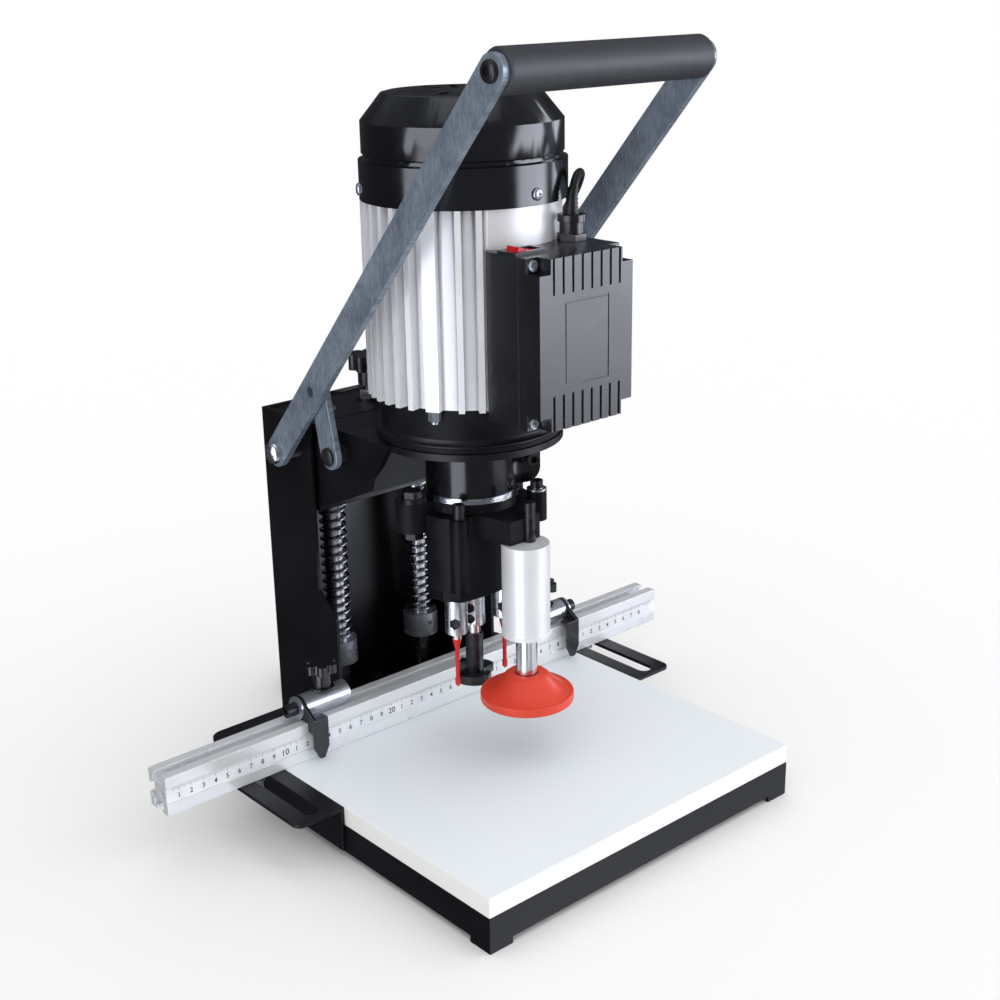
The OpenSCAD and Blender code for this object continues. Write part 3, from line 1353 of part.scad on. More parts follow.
module grip_rod() {
    color("#9aa0a8") difference() {
        bar_on_x(-bar_x, bar_x, grip_y, grip_z, grip_rod_d / 2);
        both_sides() bar_on_x(bar_x - 20, bar_x + 1, grip_y, grip_z, 4);
    }
}

// Button head bolts at the ends of the grip
module grip_bolts() {
    color("#17181a") both_sides() {
        bar_on_x(bar_x - 20, bar_x + bar_t + 1, grip_y, grip_z, 4);
        translate([bar_x + bar_t, grip_y, grip_z]) rotate([0, 90, 0]) dome(7, 4.5);
    }
}

// Link bars between the carriage and the handle bars, with their upper pins
module link_bars() {
    color("#8b939c") both_sides() {
        plate_on_x(link_x, bar_t) difference() {
            lobes([link_y, link_z], link_w / 2, [arm_y, arm_z], link_w / 2);
            translate([link_y, link_z]) circle(r = pivot_d / 2 + run_gap);
        }
        bar_on_x(link_x - 1.5, link_x + eps, arm_y, arm_z, 6.5);
    }
}

// Shoulder bolts that the link bars turn on
module link_bolts() {
    color("#1b1c1f") both_sides() {
        bar_on_x(cheek_x, link_x + bar_t + 1, link_y, link_z, pivot_d / 2);
        bar_on_x(cheek_x + cheek_t, link_x - slide_gap, link_y, link_z, pivot_d / 2 + 3);
        translate([link_x + bar_t + slide_gap, link_y, link_z]) rotate([0, 90, 0]) dome(7, 3.5);
    }
}

base_tray();
table_board();
left_ear_bracket();
right_ear_bracket();
column();
column_top_plate();
column_bolts();
guide_rods();
spring_collars();
return_springs();
handle_pivot_bolts();
mains_cord();
cord_coil();
mains_plug();
stop_knob();
fence_rail();
ruler_strip();
fence_clamp_bolts();
left_stop_block();
left_stop_finger();
left_stop_knob();
right_stop_block();
right_stop_finger();
right_stop_knob();
carriage();
guide_bushes();
motor_end_bell();
motor_housing();
stator();
fan_cover();
motor_screws();
switch_box();
switch_cover();
switch_frame();
start_capacitor();
cable_gland();
clamp_sleeve();
gearbox_housing();
gearbox_cover();
gearbox_bolts();
bearings();
foot_cylinder();
foot_spring();
rotor();
cooling_fan();
centre_spindle();
hinge_cutter();
left_spindle();
left_bit();
right_spindle();
right_bit();
foot_rod();
foot_cup();
rocker();
handle_bars();
grip();
grip_rod();
grip_bolts();
link_bars();
link_bolts();
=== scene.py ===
import json
import math

import bmesh
import bpy
from mathutils import Matrix, Vector


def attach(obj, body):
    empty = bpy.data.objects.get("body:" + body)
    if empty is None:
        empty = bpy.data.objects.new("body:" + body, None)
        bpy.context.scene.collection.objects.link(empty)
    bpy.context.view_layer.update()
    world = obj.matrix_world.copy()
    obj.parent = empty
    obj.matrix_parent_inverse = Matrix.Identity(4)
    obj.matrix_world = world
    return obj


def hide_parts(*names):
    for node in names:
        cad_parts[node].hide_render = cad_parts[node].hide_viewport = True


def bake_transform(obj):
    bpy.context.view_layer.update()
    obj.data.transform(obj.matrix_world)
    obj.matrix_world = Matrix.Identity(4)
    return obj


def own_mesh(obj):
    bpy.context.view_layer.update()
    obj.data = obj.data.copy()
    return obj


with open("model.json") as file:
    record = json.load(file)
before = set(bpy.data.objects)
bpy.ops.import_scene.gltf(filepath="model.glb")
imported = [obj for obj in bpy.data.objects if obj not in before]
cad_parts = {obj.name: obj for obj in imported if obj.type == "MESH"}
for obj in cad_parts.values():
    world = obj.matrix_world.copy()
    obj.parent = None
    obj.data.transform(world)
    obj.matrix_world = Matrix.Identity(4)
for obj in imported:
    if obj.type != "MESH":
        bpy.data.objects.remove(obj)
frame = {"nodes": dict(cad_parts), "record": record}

mm = 0.001
nodes = frame["nodes"]
scene = bpy.context.scene
slotOf = {part["node"]: part["material_slot"] for part in frame["record"]["subparts"]}
bodyOf = {node: body for body, members in frame["record"]["behaviour"]["bodies"].items() for node in members}
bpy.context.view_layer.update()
spindleAxis = (0, 16)
print("frame loaded:", len(nodes), "nodes")


# Shared helpers for objects and meshes
def linked(name, data):
    obj = bpy.data.objects.new(name, data)
    scene.collection.objects.link(obj)
    return obj


def meshFrom(work, name):
    mesh = bpy.data.meshes.new(name)
    work.to_mesh(mesh)
    work.free()
    return mesh


def baked(obj, name):
    depsgraph = bpy.context.evaluated_depsgraph_get()
    mesh = bpy.data.meshes.new_from_object(obj.evaluated_get(depsgraph))
    mesh.name = name
    bpy.data.objects.remove(obj)
    return mesh


def smoothBy(mesh, degrees):
    for polygon in mesh.polygons:
        polygon.use_smooth = True
    mesh.set_sharp_from_angle(angle=math.radians(degrees))


# A new node with its settings, its sockets linked or filled in
def newNode(tree, kind, settings, sockets):
    made = tree.nodes.new(kind)
    for key, value in settings.items():
        setattr(made, key, value)
    for key, value in sockets.items():
        value = value.socket if isinstance(value, Wire) else value
        if isinstance(value, bpy.types.NodeSocket):
            tree.links.new(value, made.inputs[key])
        else:
            made.inputs[key].default_value = value
    return made


# Camera, from the vanishing lines and the ruler of the picture
shot = {"place": (-0.6993, -0.8148, 0.6072), "heading": 41.23, "down": 19.21, "roll": -0.98,
        "focalPixels": 1536.7, "picturePixels": 1000, "sensor": 36, "nearest": 0.01}


def makeCamera(spec):
    heading, down, roll = (math.radians(spec[key]) for key in ("heading", "down", "roll"))
    forward = Vector((math.sin(heading) * math.cos(down), math.cos(heading) * math.cos(down),
                      -math.sin(down)))
    level = Vector((math.cos(heading), -math.sin(heading), 0))
    upright = level.cross(forward)
    right = level * math.cos(roll) + upright * math.sin(roll)
    up = upright * math.cos(roll) - level * math.sin(roll)
    data = bpy.data.cameras.new("camera")
    data.sensor_width = spec["sensor"]
    data.lens = spec["focalPixels"] * spec["sensor"] / spec["picturePixels"]
    data.clip_start = spec["nearest"]
    camera = linked("camera", data)
    turned = Matrix((right, up, -forward)).transposed().to_4x4()
    camera.matrix_world = Matrix.Translation(spec["place"]) @ turned
    scene.camera = camera


makeCamera(shot)


# Shader building: a wire is a socket that takes part in Python sums
class Wire:
    def __init__(self, shader, socket):
        self.shader, self.socket = shader, socket

    def work(self, operation, first, second=0.0):
        node = self.shader.node("Math", {"operation": operation}, {0: first, 1: second})
        return Wire(self.shader, node.outputs[0])

    def __add__(self, other):
        return self.work("ADD", self, other)

    def __sub__(self, other):
        return self.work("SUBTRACT", self, other)

    def __mul__(self, other):
        return self.work("MULTIPLY", self, other)

    def __rsub__(self, other):
        return self.work("SUBTRACT", other, self)


class Shader:
    def __init__(self, name, holder=None):
        self.material = holder or bpy.data.materials.new(name)
        self.material.use_nodes = True
        self.tree = self.material.node_tree
        self.tree.nodes.clear()
        self.place = self.node("TexCoord", {}, {}).outputs["Object"]

    def node(self, kind, settings, sockets):
        return newNode(self.tree, "ShaderNode" + kind, settings, sockets)

    def stretched(self, scale):
        return self.node("Mapping", {}, {"Vector": self.place, "Scale": scale}).outputs[0]

    def noise(self, scale, detail=2.0, vector=None, roughness=0.5):
        made = self.node("TexNoise", {}, {"Vector": vector or self.place, "Scale": scale, "Detail": detail,
                                          "Roughness": roughness})
        return Wire(self, made.outputs["Fac"])

    def range(self, wire, low, high, to=(0.0, 1.0), shape="LINEAR"):
        made = self.node("MapRange", {"interpolation_type": shape},
                         {"Value": wire, "From Min": low, "From Max": high, "To Min": to[0], "To Max": to[1]})
        return Wire(self, made.outputs["Result"])

    def blend(self, factor, dark, light):
        return self.node("Mix", {"data_type": "RGBA"}, {0: factor, 6: (*dark, 1), 7: (*light, 1)}).outputs[2]

    def bump(self, height, strength, depth):
        return self.node("Bump", {}, {"Height": height, "Strength": strength, "Distance": depth}).outputs[0]

    def surface(self, **looks):
        names = {"colour": "Base Color", "roughness": "Roughness", "metallic": "Metallic", "normal": "Normal",
                 "specular": "Specular IOR Level", "coat": "Coat Weight", "coatRoughness": "Coat Roughness"}
        sockets = {names[key]: value for key, value in looks.items()}
        shade = self.node("BsdfPrincipled", {}, sockets)
        self.node("OutputMaterial", {}, {"Surface": shade.outputs[0]})
        return self.material


# Finishes, each from noise at the size of its grain: peel, brush lines, pores or clouds of tone
def powderCoat():
    s = Shader("powderCoat")
    peel = s.noise(900, 3)
    dust = s.range(s.noise(14, 5), 0.35, 0.75)
    colour = s.blend(dust, dark=(0.0036, 0.0036, 0.0046), light=(0.0066, 0.0066, 0.0082))
    return s.surface(colour=colour, roughness=s.range(dust, 0, 1, to=(0.30, 0.44)), specular=0.30,
                     normal=s.bump(peel, strength=0.10, depth=0.0004))


def melamine():
    s = Shader("melamine")
    soft = s.noise(6, 3)
    grain = s.noise(1500, 2)
    colour = s.blend(soft, dark=(0.83, 0.88, 0.92), light=(0.88, 0.925, 0.965))
    return s.surface(colour=colour, roughness=s.range(soft, 0.3, 0.7, to=(0.34, 0.44)), specular=0.3,
                     normal=s.bump(grain, strength=0.05, depth=0.0002))


def edgeBand():
    s = Shader("edgeBand")
    soft = s.noise(9, 3)
    colour = s.blend(soft, dark=(0.90, 0.90, 0.89), light=(0.95, 0.95, 0.93))
    return s.surface(colour=colour, roughness=s.range(soft, 0.3, 0.7, to=(0.36, 0.46)), specular=0.3,
                     normal=s.bump(s.noise(1500, 2), strength=0.05, depth=0.0002))


def zincPlate():
    s = Shader("zincPlate")
    speck = s.noise(620, 4, roughness=0.7)
    cloud = s.noise(70, 4)
    mottle = s.range(speck * 0.5 + cloud * 0.5, 0.34, 0.66)
    colour = s.blend(mottle, dark=(0.40, 0.43, 0.48), light=(0.66, 0.69, 0.74))
    return s.surface(colour=colour, metallic=0.85, roughness=s.range(mottle, 0, 1, to=(0.36, 0.24)),
                     normal=s.bump(speck, strength=0.08, depth=0.0003))


def brushedZinc():
    s = Shader("brushedZinc")
    slant = s.node("Mapping", {}, {"Vector": s.place, "Rotation": (math.radians(-24), 0, 0),
                                   "Scale": (1, 160, 34)}).outputs[0]
    streak = s.noise(5, 4, vector=slant, roughness=0.65)
    cloud = s.noise(46, 5, roughness=0.6)
    mottle = s.range(streak * 0.55 + cloud * 0.45, 0.36, 0.64)
    colour = s.blend(mottle, dark=(0.120, 0.150, 0.200), light=(0.340, 0.400, 0.480))
    return s.surface(colour=colour, metallic=0.45, roughness=s.range(mottle, 0, 1, to=(0.46, 0.34)),
                     normal=s.bump(streak, strength=0.10, depth=0.0004))


def brightSteel():
    s = Shader("brightSteel")
    rings = s.noise(40, 2, vector=s.stretched((1, 1, 90)))
    colour = s.blend(rings, dark=(0.60, 0.61, 0.63), light=(0.78, 0.79, 0.81))
    return s.surface(colour=colour, metallic=1.0, roughness=s.range(rings, 0.3, 0.7, to=(0.16, 0.28)),
                     normal=s.bump(rings, strength=0.04, depth=0.0002))


def blackOxide():
    s = Shader("blackOxide")
    patch = s.range(s.noise(160, 4), 0.35, 0.7)
    colour = s.blend(patch, dark=(0.010, 0.010, 0.012), light=(0.030, 0.030, 0.034))
    return s.surface(colour=colour, metallic=0.4, roughness=s.range(patch, 0, 1, to=(0.26, 0.42)),
                     normal=s.bump(s.noise(1400, 2), strength=0.08, depth=0.0002))


def springSteel():
    s = Shader("springSteel")
    patch = s.noise(240, 3)
    colour = s.blend(patch, dark=(0.20, 0.21, 0.23), light=(0.52, 0.53, 0.56))
    return s.surface(colour=colour, metallic=1.0, roughness=s.range(patch, 0.3, 0.7, to=(0.20, 0.34)))


def anodised():
    s = Shader("anodised")
    lines = s.noise(30, 3, vector=s.stretched((1.5, 60, 60)))
    haze = s.noise(18, 3)
    colour = s.blend(lines, dark=(0.78, 0.80, 0.83), light=(0.88, 0.90, 0.92))
    return s.surface(colour=colour, metallic=0.42, roughness=s.range(haze, 0.3, 0.7, to=(0.24, 0.34)),
                     normal=s.bump(lines, strength=0.05, depth=0.0003))


def rulerPrint():
    s = Shader("rulerPrint")
    lines = s.noise(40, 3, vector=s.stretched((1, 50, 50)))
    wear = s.range(s.noise(34, 5), 0.45, 0.62)
    colour = s.blend(wear, dark=(0.80, 0.83, 0.88), light=(0.93, 0.95, 0.98))
    return s.surface(colour=colour, metallic=0.08, roughness=s.range(lines, 0.3, 0.7, to=(0.28, 0.40)))


def satinCasting():
    s = Shader("satinCasting")
    grain = s.noise(700, 3)
    cloud = s.noise(25, 3)
    colour = s.blend(cloud, dark=(0.78, 0.79, 0.83), light=(0.88, 0.89, 0.91))
    return s.surface(colour=colour, metallic=0.25, roughness=s.range(cloud, 0.3, 0.7, to=(0.32, 0.42)),
                     normal=s.bump(grain, strength=0.10, depth=0.0003))


def blackCasting():
    s = Shader("blackCasting")
    grain = s.noise(420, 4, roughness=0.6)
    cloud = s.range(s.noise(30, 4), 0.4, 0.7)
    colour = s.blend(cloud, dark=(0.0048, 0.0050, 0.0064), light=(0.0098, 0.0102, 0.0124))
    return s.surface(colour=colour, roughness=s.range(cloud, 0, 1, to=(0.34, 0.48)), specular=0.10,
                     normal=s.bump(grain, strength=0.16, depth=0.0006))


def glossBlack():
    s = Shader("glossBlack")
    ripple = s.noise(60, 2)
    colour = s.blend(s.noise(9, 3), dark=(0.0036, 0.0038, 0.0048), light=(0.0060, 0.0064, 0.0078))
    return s.surface(colour=colour, roughness=s.range(ripple, 0.3, 0.7, to=(0.14, 0.20)), specular=0.5,
                     coat=0.25, coatRoughness=0.10, normal=s.bump(ripple, strength=0.04, depth=0.0010))


def mouldedBlack():
    s = Shader("mouldedBlack")
    spark = s.noise(1700, 3)
    cloud = s.noise(24, 3)
    colour = s.blend(cloud, dark=(0.0070, 0.0068, 0.0084), light=(0.0115, 0.0112, 0.0135))
    return s.surface(colour=colour, roughness=s.range(cloud, 0.3, 0.7, to=(0.24, 0.32)), specular=0.7,
                     normal=s.bump(spark, strength=0.12, depth=0.0003))


def rockerRed():
    s = Shader("rockerRed")
    colour = s.blend(s.noise(120, 2), dark=(0.66, 0.010, 0.020), light=(0.84, 0.022, 0.034))
    return s.surface(colour=colour, roughness=s.range(s.noise(300, 2), 0.3, 0.7, to=(0.12, 0.20)), coat=0.5)


def gripFoam():
    s = Shader("gripFoam")
    pores = s.noise(1300, 4, roughness=0.7)
    bands = s.noise(20, 3, vector=s.stretched((1, 6, 6)))
    colour = s.blend(bands, dark=(0.018, 0.020, 0.024), light=(0.036, 0.039, 0.045))
    return s.surface(colour=colour, roughness=s.range(pores, 0.3, 0.7, to=(0.46, 0.60)), specular=0.6,
                     normal=s.bump(pores, strength=0.30, depth=0.0004))


def cordJacket():
    s = Shader("cordJacket")
    skin = s.noise(900, 3)
    colour = s.blend(s.noise(40, 2), dark=(0.0050, 0.0050, 0.0056), light=(0.0100, 0.0100, 0.0110))
    return s.surface(colour=colour, roughness=s.range(skin, 0.3, 0.7, to=(0.36, 0.46)), specular=0.4,
                     normal=s.bump(skin, strength=0.10, depth=0.0002))


def redRubber():
    s = Shader("redRubber")
    skin = s.noise(1100, 3)
    cloud = s.noise(30, 3)
    colour = s.blend(cloud, dark=(0.66, 0.040, 0.016), light=(0.80, 0.062, 0.026))
    return s.surface(colour=colour, roughness=s.range(cloud, 0.3, 0.7, to=(0.34, 0.46)),
                     normal=s.bump(skin, strength=0.10, depth=0.0002))


def redCoat():
    s = Shader("redCoat")
    patch = s.noise(400, 3)
    colour = s.blend(patch, dark=(0.58, 0.012, 0.016), light=(0.74, 0.030, 0.034))
    return s.surface(colour=colour, metallic=0.2, roughness=s.range(patch, 0.3, 0.7, to=(0.28, 0.42)))


def copperWire():
    s = Shader("copperWire")
    strands = s.noise(300, 2, vector=s.stretched((1, 1, 6)))
    colour = s.blend(strands, dark=(0.25, 0.09, 0.04), light=(0.52, 0.22, 0.11))
    return s.surface(colour=colour, metallic=0.8, roughness=0.4,
                     normal=s.bump(strands, strength=0.4, depth=0.001))


def capacitorCan():
    s = Shader("capacitorCan")
    cloud = s.noise(50, 3)
    return s.surface(colour=s.blend(cloud, dark=(0.58, 0.58, 0.55), light=(0.72, 0.72, 0.69)),
                     roughness=s.range(cloud, 0.3, 0.7, to=(0.4, 0.5)))


def printBlack():
    s = Shader("printBlack")
    worn = s.range(s.noise(220, 4), 0.62, 0.75)
    colour = s.blend(worn, dark=(0.012, 0.012, 0.014), light=(0.09, 0.09, 0.10))
    return s.surface(colour=colour, roughness=0.45)


finishOf = {
    "black_powder_coat": powderCoat(), "white_melamine": melamine(), "zinc_plated_steel": zincPlate(),
    "bright_steel": brightSteel(), "black_oxide_steel": blackOxide(), "spring_steel": springSteel(),
    "fence_aluminium": anodised(), "ruler_aluminium": rulerPrint(), "cast_aluminium": satinCasting(),
    "black_casting": blackCasting(), "black_gloss_cover": glossBlack(), "black_plastic": mouldedBlack(),
    "red_plastic": rockerRed(), "grip_rubber": gripFoam(), "cord_rubber": cordJacket(),
    "red_rubber": redRubber(), "red_coated_steel": redCoat(), "winding_copper": copperWire(),
    "capacitor_shell": capacitorCan()}
inkFinish = printBlack()
barFinish = brushedZinc()
print("finishes made:", len(finishOf) + 1)


# A finished piece on its body, with the slot that it takes its finish from
def addPiece(name, mesh, body, slot, finish=None):
    piece = linked(name, mesh)
    mesh.materials.clear()
    mesh.materials.append(finish or finishOf[slot])
    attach(piece, body)
    return piece


# Mains cord: the free stretch over the column's top, then the coil behind it
cordSpec = {"diameter": 6 * mm, "smoothing": 4, "sides": 4, "coilRadius": 44, "coilTurns": 4.875,
            "coilSpace": 0.5, "coilRings": 24, "coilX": 60, "coilY": 233, "floorGap": 0.2, "tailFrom": 6,
            "tailStep": 5, "tail": 35, "tailRise": 3.65, "riseFrom": 18, "riseOver": 12,
            "bendFrom": (0.0345, -0.0565, 0.450), "bendTo": (0.080, 0.028, 0.400)}
cordRoute = [[34.5, -56.5, 446], [34.9, -56.3, 454], [38.1, -54.7, 463], [45, -51, 470], [54, -45, 471],
             [63, -36, 466], [70.5, -24, 456], [76, -9, 441], [79.5, 8, 422], [80, 28, 400], [79, 48, 379],
             [76, 70, 358], [71, 92, 338], [66, 114, 322], [62, 135, 311], [60, 155, 303], [60, 173, 289],
             [60, 180, 266], [60, 181, 235], [60, 181, 195], [60, 181, 155], [60, 181, 115], [60, 181, 75],
             [60, 181, 34], [60, 183, 24.5], [60, 188, 16.7], [60, 196, 11.5], [60, 205, 9.7], [60, 219, 9.7],
             [60, 233, 9.7]]


def smoothRoute(route, steps):
    points = []
    for i in range(len(route) - 1):
        a, b, c, d = (Vector(route[k]) for k in (max(0, i - 1), i, i + 1, min(len(route) - 1, i + 2)))
        for k in range(steps):
            t = k / steps
            points.append(b + 0.5 * t * (c - a) + t * t * (a - 2.5 * b + 2 * c - 0.5 * d)
                          + t ** 3 * (1.5 * b - 0.5 * a - 1.5 * c + 0.5 * d))
    return points + [Vector(route[-1])]


def ease(t):
    t = min(1, max(0, t))
    return 3 * t * t - 2 * t ** 3


def coilRoute(spec):
    thick = spec["diameter"] / mm
    pitch = thick + spec["coilSpace"]
    turns = spec["coilTurns"]
    centre = Vector((spec["coilX"] - spec["coilRadius"], spec["coilY"], thick / 2 + spec["floorGap"]))

    def onCoil(u):
        radius = spec["coilRadius"] - pitch * min(u, turns - u)
        layer = ease((turns / 2 + 0.25 - u) / 0.5)
        angle = 2 * math.pi * u
        return centre + Vector((radius * math.cos(angle), radius * math.sin(angle), pitch * layer))

    last = 2 * math.pi * turns
    points = [onCoil(k / spec["coilRings"]) for k in range(int(turns * spec["coilRings"]) + 1)]
    for s in [*range(spec["tailFrom"], spec["tail"], spec["tailStep"]), spec["tail"]]:
        lift = spec["tailRise"] * ease((s - spec["riseFrom"]) / spec["riseOver"])
        points.append(onCoil(turns) + s * Vector((-math.sin(last), math.cos(last), 0)) + Vector((0, 0, lift)))
    return points


def makeCord(spec, route):
    points = [p * mm for p in smoothRoute(route, spec["smoothing"]) + coilRoute(spec)[1:]]
    curve = bpy.data.curves.new("mainsCord", "CURVE")
    curve.dimensions = "3D"
    curve.bevel_depth = spec["diameter"] / 2
    curve.bevel_resolution = spec["sides"]
    curve.use_fill_caps = True
    spline = curve.splines.new("POLY")
    spline.points.add(len(points) - 1)
    for point, place in zip(spline.points, points):
        point.co = (*place, 1)
    spline.use_smooth = True
    tube = baked(linked("cordLine", curve), "mainsCord")
    tube.materials.clear()
    tube.materials.append(finishOf["cord_rubber"])
    cord = linked("mainsCord", tube)
    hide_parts("mains_cord", "cord_coil")
    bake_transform(cord)
    return cord, points


mainsCord, cordLine = makeCord(cordSpec, cordRoute)


# Geometry Nodes: a tree with named inputs, which grow() sets before it bakes the mesh
class Tree:
    def __init__(self, name, inputs):
        self.group = bpy.data.node_groups.new(name, "GeometryNodeTree")
        kinds = {"geometry": "NodeSocketGeometry", "length": "NodeSocketFloat", "count": "NodeSocketInt",
                 "vector": "NodeSocketVector", "finish": "NodeSocketMaterial"}
        face = self.group.interface
        self.sockets = {title: face.new_socket(title, in_out="INPUT", socket_type=kinds[kind])
                        for title, kind in inputs.items()}
        face.new_socket("Geometry", in_out="OUTPUT", socket_type=kinds["geometry"])
        self.inputs = self.group.nodes.new("NodeGroupInput").outputs

    def node(self, kind, settings, sockets):
        return newNode(self.group, "GeometryNode" + kind, settings, sockets).outputs[0]

    def finish(self, geometry):
        real = self.node("RealizeInstances", {}, {0: geometry})
        shaded = self.node("SetMaterial", {}, {0: real, "Material": self.inputs["Finish"]})
        self.group.links.new(shaded, self.group.nodes.new("NodeGroupOutput").inputs[0])

    def grow(self, name, start, values):
        obj = linked(name + "_seed", start)
        modifier = obj.modifiers.new("grow", "NODES")
        modifier.node_group = self.group
        for title, value in values.items():
            modifier[self.sockets[title].identifier] = value
        return baked(obj, name)


# Return springs: one wire wound by a rule, with closed ends, on both guide rods
springSpec = {"radius": 9.9, "wire": 2.2, "curls": 17, "foot": 92.2, "end": 206.7, "closed": 2.8,
              "rods": 42.5, "rodY": 137, "rings": 28, "sides": 10, "anchor": (0, 0, 0.091), "keep": 0.69}


def springPoints(spec):
    span = spec["end"] - spec["foot"]
    rise = (span - 2 * spec["closed"]) / (spec["curls"] - 2)
    points = []
    for k in range(spec["curls"] * spec["rings"] + 1):
        u = k / spec["rings"]
        height = spec["closed"] + (u - 1) * rise
        if u < 1:
            height = u * spec["closed"]
        if u > spec["curls"] - 1:
            height = span - (spec["curls"] - u) * spec["closed"]
        turn = 2 * math.pi * u
        points.append((spec["radius"] * math.cos(turn), spec["radius"] * math.sin(turn),
                       spec["foot"] + height))
    return points


def wireMesh(name, points):
    mesh = bpy.data.meshes.new(name)
    edges = [(k, k + 1) for k in range(len(points) - 1)]
    mesh.from_pydata([Vector(point) * mm for point in points], edges, [])
    return mesh


def makeSprings(spec):
    tree = Tree("woundWire", {"Line": "geometry", "Wire": "length", "Sides": "count", "First": "vector",
                              "Second": "vector", "Finish": "finish"})
    line = tree.node("MeshToCurve", {}, {0: tree.inputs["Line"]})
    ring = tree.node("CurvePrimitiveCircle", {}, {"Resolution": tree.inputs["Sides"],
                                                  "Radius": tree.inputs["Wire"]})
    wire = tree.node("CurveToMesh", {}, {"Curve": line, "Profile Curve": ring, "Fill Caps": True})
    rods = tree.node("MeshLine", {"mode": "END_POINTS"}, {
        "Count": 2, "Start Location": tree.inputs["First"], "Offset": tree.inputs["Second"]})
    tree.finish(tree.node("InstanceOnPoints", {}, {"Points": rods, "Instance": wire}))
    first, second = ((side * spec["rods"] * mm, spec["rodY"] * mm, 0) for side in (-1, 1))
    mesh = tree.grow("returnSprings", wireMesh("springLine", springPoints(spec)), {
        "Wire": spec["wire"] / 2 * mm, "Sides": spec["sides"], "First": first, "Second": second,
        "Finish": finishOf["spring_steel"]})
    smoothBy(mesh, 60)
    springs = addPiece("return_springs_wound", mesh, "frame", "spring_steel")
    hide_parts("return_springs")
    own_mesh(springs)
    print("springs wound:", spec["curls"], "curls each")


makeSprings(springSpec)


def makeFootSpring():
    spring = addPiece("foot_spring_seated", nodes["foot_spring"].data.copy(), "head", "spring_steel")
    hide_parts("foot_spring")
    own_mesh(spring)


makeFootSpring()

# Ruler print: tick lines by Geometry Nodes, and plain numbers in centimetres
rulerSpec = {"face": 59.2, "middle": 57.2, "high": 11.6, "zero": -250, "length": 500, "last": 49,
             "digit": 5.4, "ten": 6.8, "drop": 1.4, "bolder": 0.06, "proud": 0.05, "rim": 0.4, "inset": 5,
             "ticks": [{"every": 1, "tall": 1.4, "wide": 0.16}, {"every": 5, "tall": 2.2, "wide": 0.2},
                       {"every": 10, "tall": 3.0, "wide": 0.26}]}


def makeTicks(spec):
    tree = Tree("tickRow", {"Seed": "geometry", "Count": "count", "Start": "vector", "Step": "vector",
                            "Size": "vector", "Finish": "finish"})
    row = tree.node("MeshLine", {}, {"Count": tree.inputs["Count"], "Start Location": tree.inputs["Start"],
                                     "Offset": tree.inputs["Step"]})
    tick = tree.node("MeshCube", {}, {"Size": tree.inputs["Size"]})
    tree.finish(tree.node("InstanceOnPoints", {}, {"Points": row, "Instance": tick}))
    top = spec["middle"] + spec["high"] / 2 - spec["rim"]
    depth = spec["proud"]
    for mark in spec["ticks"]:
        every, tall = mark["every"], mark["tall"]
        inset = max(spec["inset"], every)
        mesh = tree.grow(f"rulerTicks{every}", bpy.data.meshes.new("tickSeed"), {
            "Count": int((spec["length"] - 2 * inset) / every) + 1,
            "Start": ((spec["zero"] + inset) * mm, (spec["face"] - depth / 2) * mm, (top - tall / 2) * mm),
            "Step": (every * mm, 0, 0), "Size": (mark["wide"] * mm, depth * mm, tall * mm),
            "Finish": inkFinish})
        addPiece(f"ruler_ticks_{every}", mesh, "fence", "ruler_aluminium", inkFinish)


# One number, made a mesh before it is stood up on the ruler's face
def numberMesh(spec, number):
    ten = number % 10 == 0
    curve = bpy.data.curves.new("number", "FONT")
    curve.body = str(number if ten else number % 10)
    curve.size = spec["ten" if ten else "digit"] * mm
    curve.extrude, curve.offset = spec["proud"] / 2 * mm, spec["bolder"] * mm
    curve.align_x, curve.align_y = "CENTER", "CENTER"
    mesh = baked(linked("number", curve), "number")
    spot = Vector((spec["zero"] + 10 * number, spec["face"] - spec["proud"] / 2,
                   spec["middle"] - spec["drop"]))
    mesh.transform(Matrix.Translation(spot * mm) @ Matrix.Rotation(math.pi / 2, 4, "X"))
    return mesh


def makeNumbers(spec):
    work = bmesh.new()
    for number in range(1, spec["last"]):
        work.from_mesh(numberMesh(spec, number))
    addPiece("ruler_numbers", meshFrom(work, "rulerNumbers"), "fence", "ruler_aluminium", inkFinish)
    print("ruler numbers:", spec["last"] - 1)


makeTicks(rulerSpec)
makeNumbers(rulerSpec)


# Turned shapes: a closed outline of radius and height, swept round an upright axis
def lathe(name, outline, centre, steps=96):
    work = bmesh.new()
    rings = []
    for k in range(steps):
        c, d = math.cos(2 * math.pi * k / steps), math.sin(2 * math.pi * k / steps)
        rings.append([work.verts.new(((centre[0] + r * c) * mm, (centre[1] + r * d) * mm, z * mm))
                      for r, z in outline])
    for k in range(steps):
        here, there = rings[k], rings[(k + 1) % steps]
        for i in range(len(outline)):
            j = (i + 1) % len(outline)
            work.faces.new((here[i], there[i], there[j], here[j]))
    bmesh.ops.recalc_face_normals(work, faces=work.faces)
    mesh = meshFrom(work, name)
    smoothBy(mesh, 40)
    return mesh


# End bell: the cast shoulder that flares out to the ring plate
bellSpec = {"inner": 62, "outer": 67.4, "foot": 290, "lip": 1.2, "top": 306, "steps": 10, "curve": 0.94}


def makeBellFlare(spec):
    wide, tall = spec["outer"] - spec["inner"], spec["top"] - spec["foot"] - spec["lip"]
    outline = [(spec["inner"], spec["foot"]), (spec["outer"], spec["foot"])]
    for k in range(spec["steps"] + 1):
        turn = math.pi / 2 * k / spec["steps"]
        outline.append((spec["outer"] - wide * math.sin(turn) * spec["curve"],
                        spec["foot"] + spec["lip"] + tall * (1 - math.cos(turn))))
    outline.append((spec["inner"], spec["top"]))
    mesh = lathe("bellFlare", outline, spindleAxis)
    addPiece("bell_flare", mesh, "head", "black_casting", finishOf["black_powder_coat"])


makeBellFlare(bellSpec)

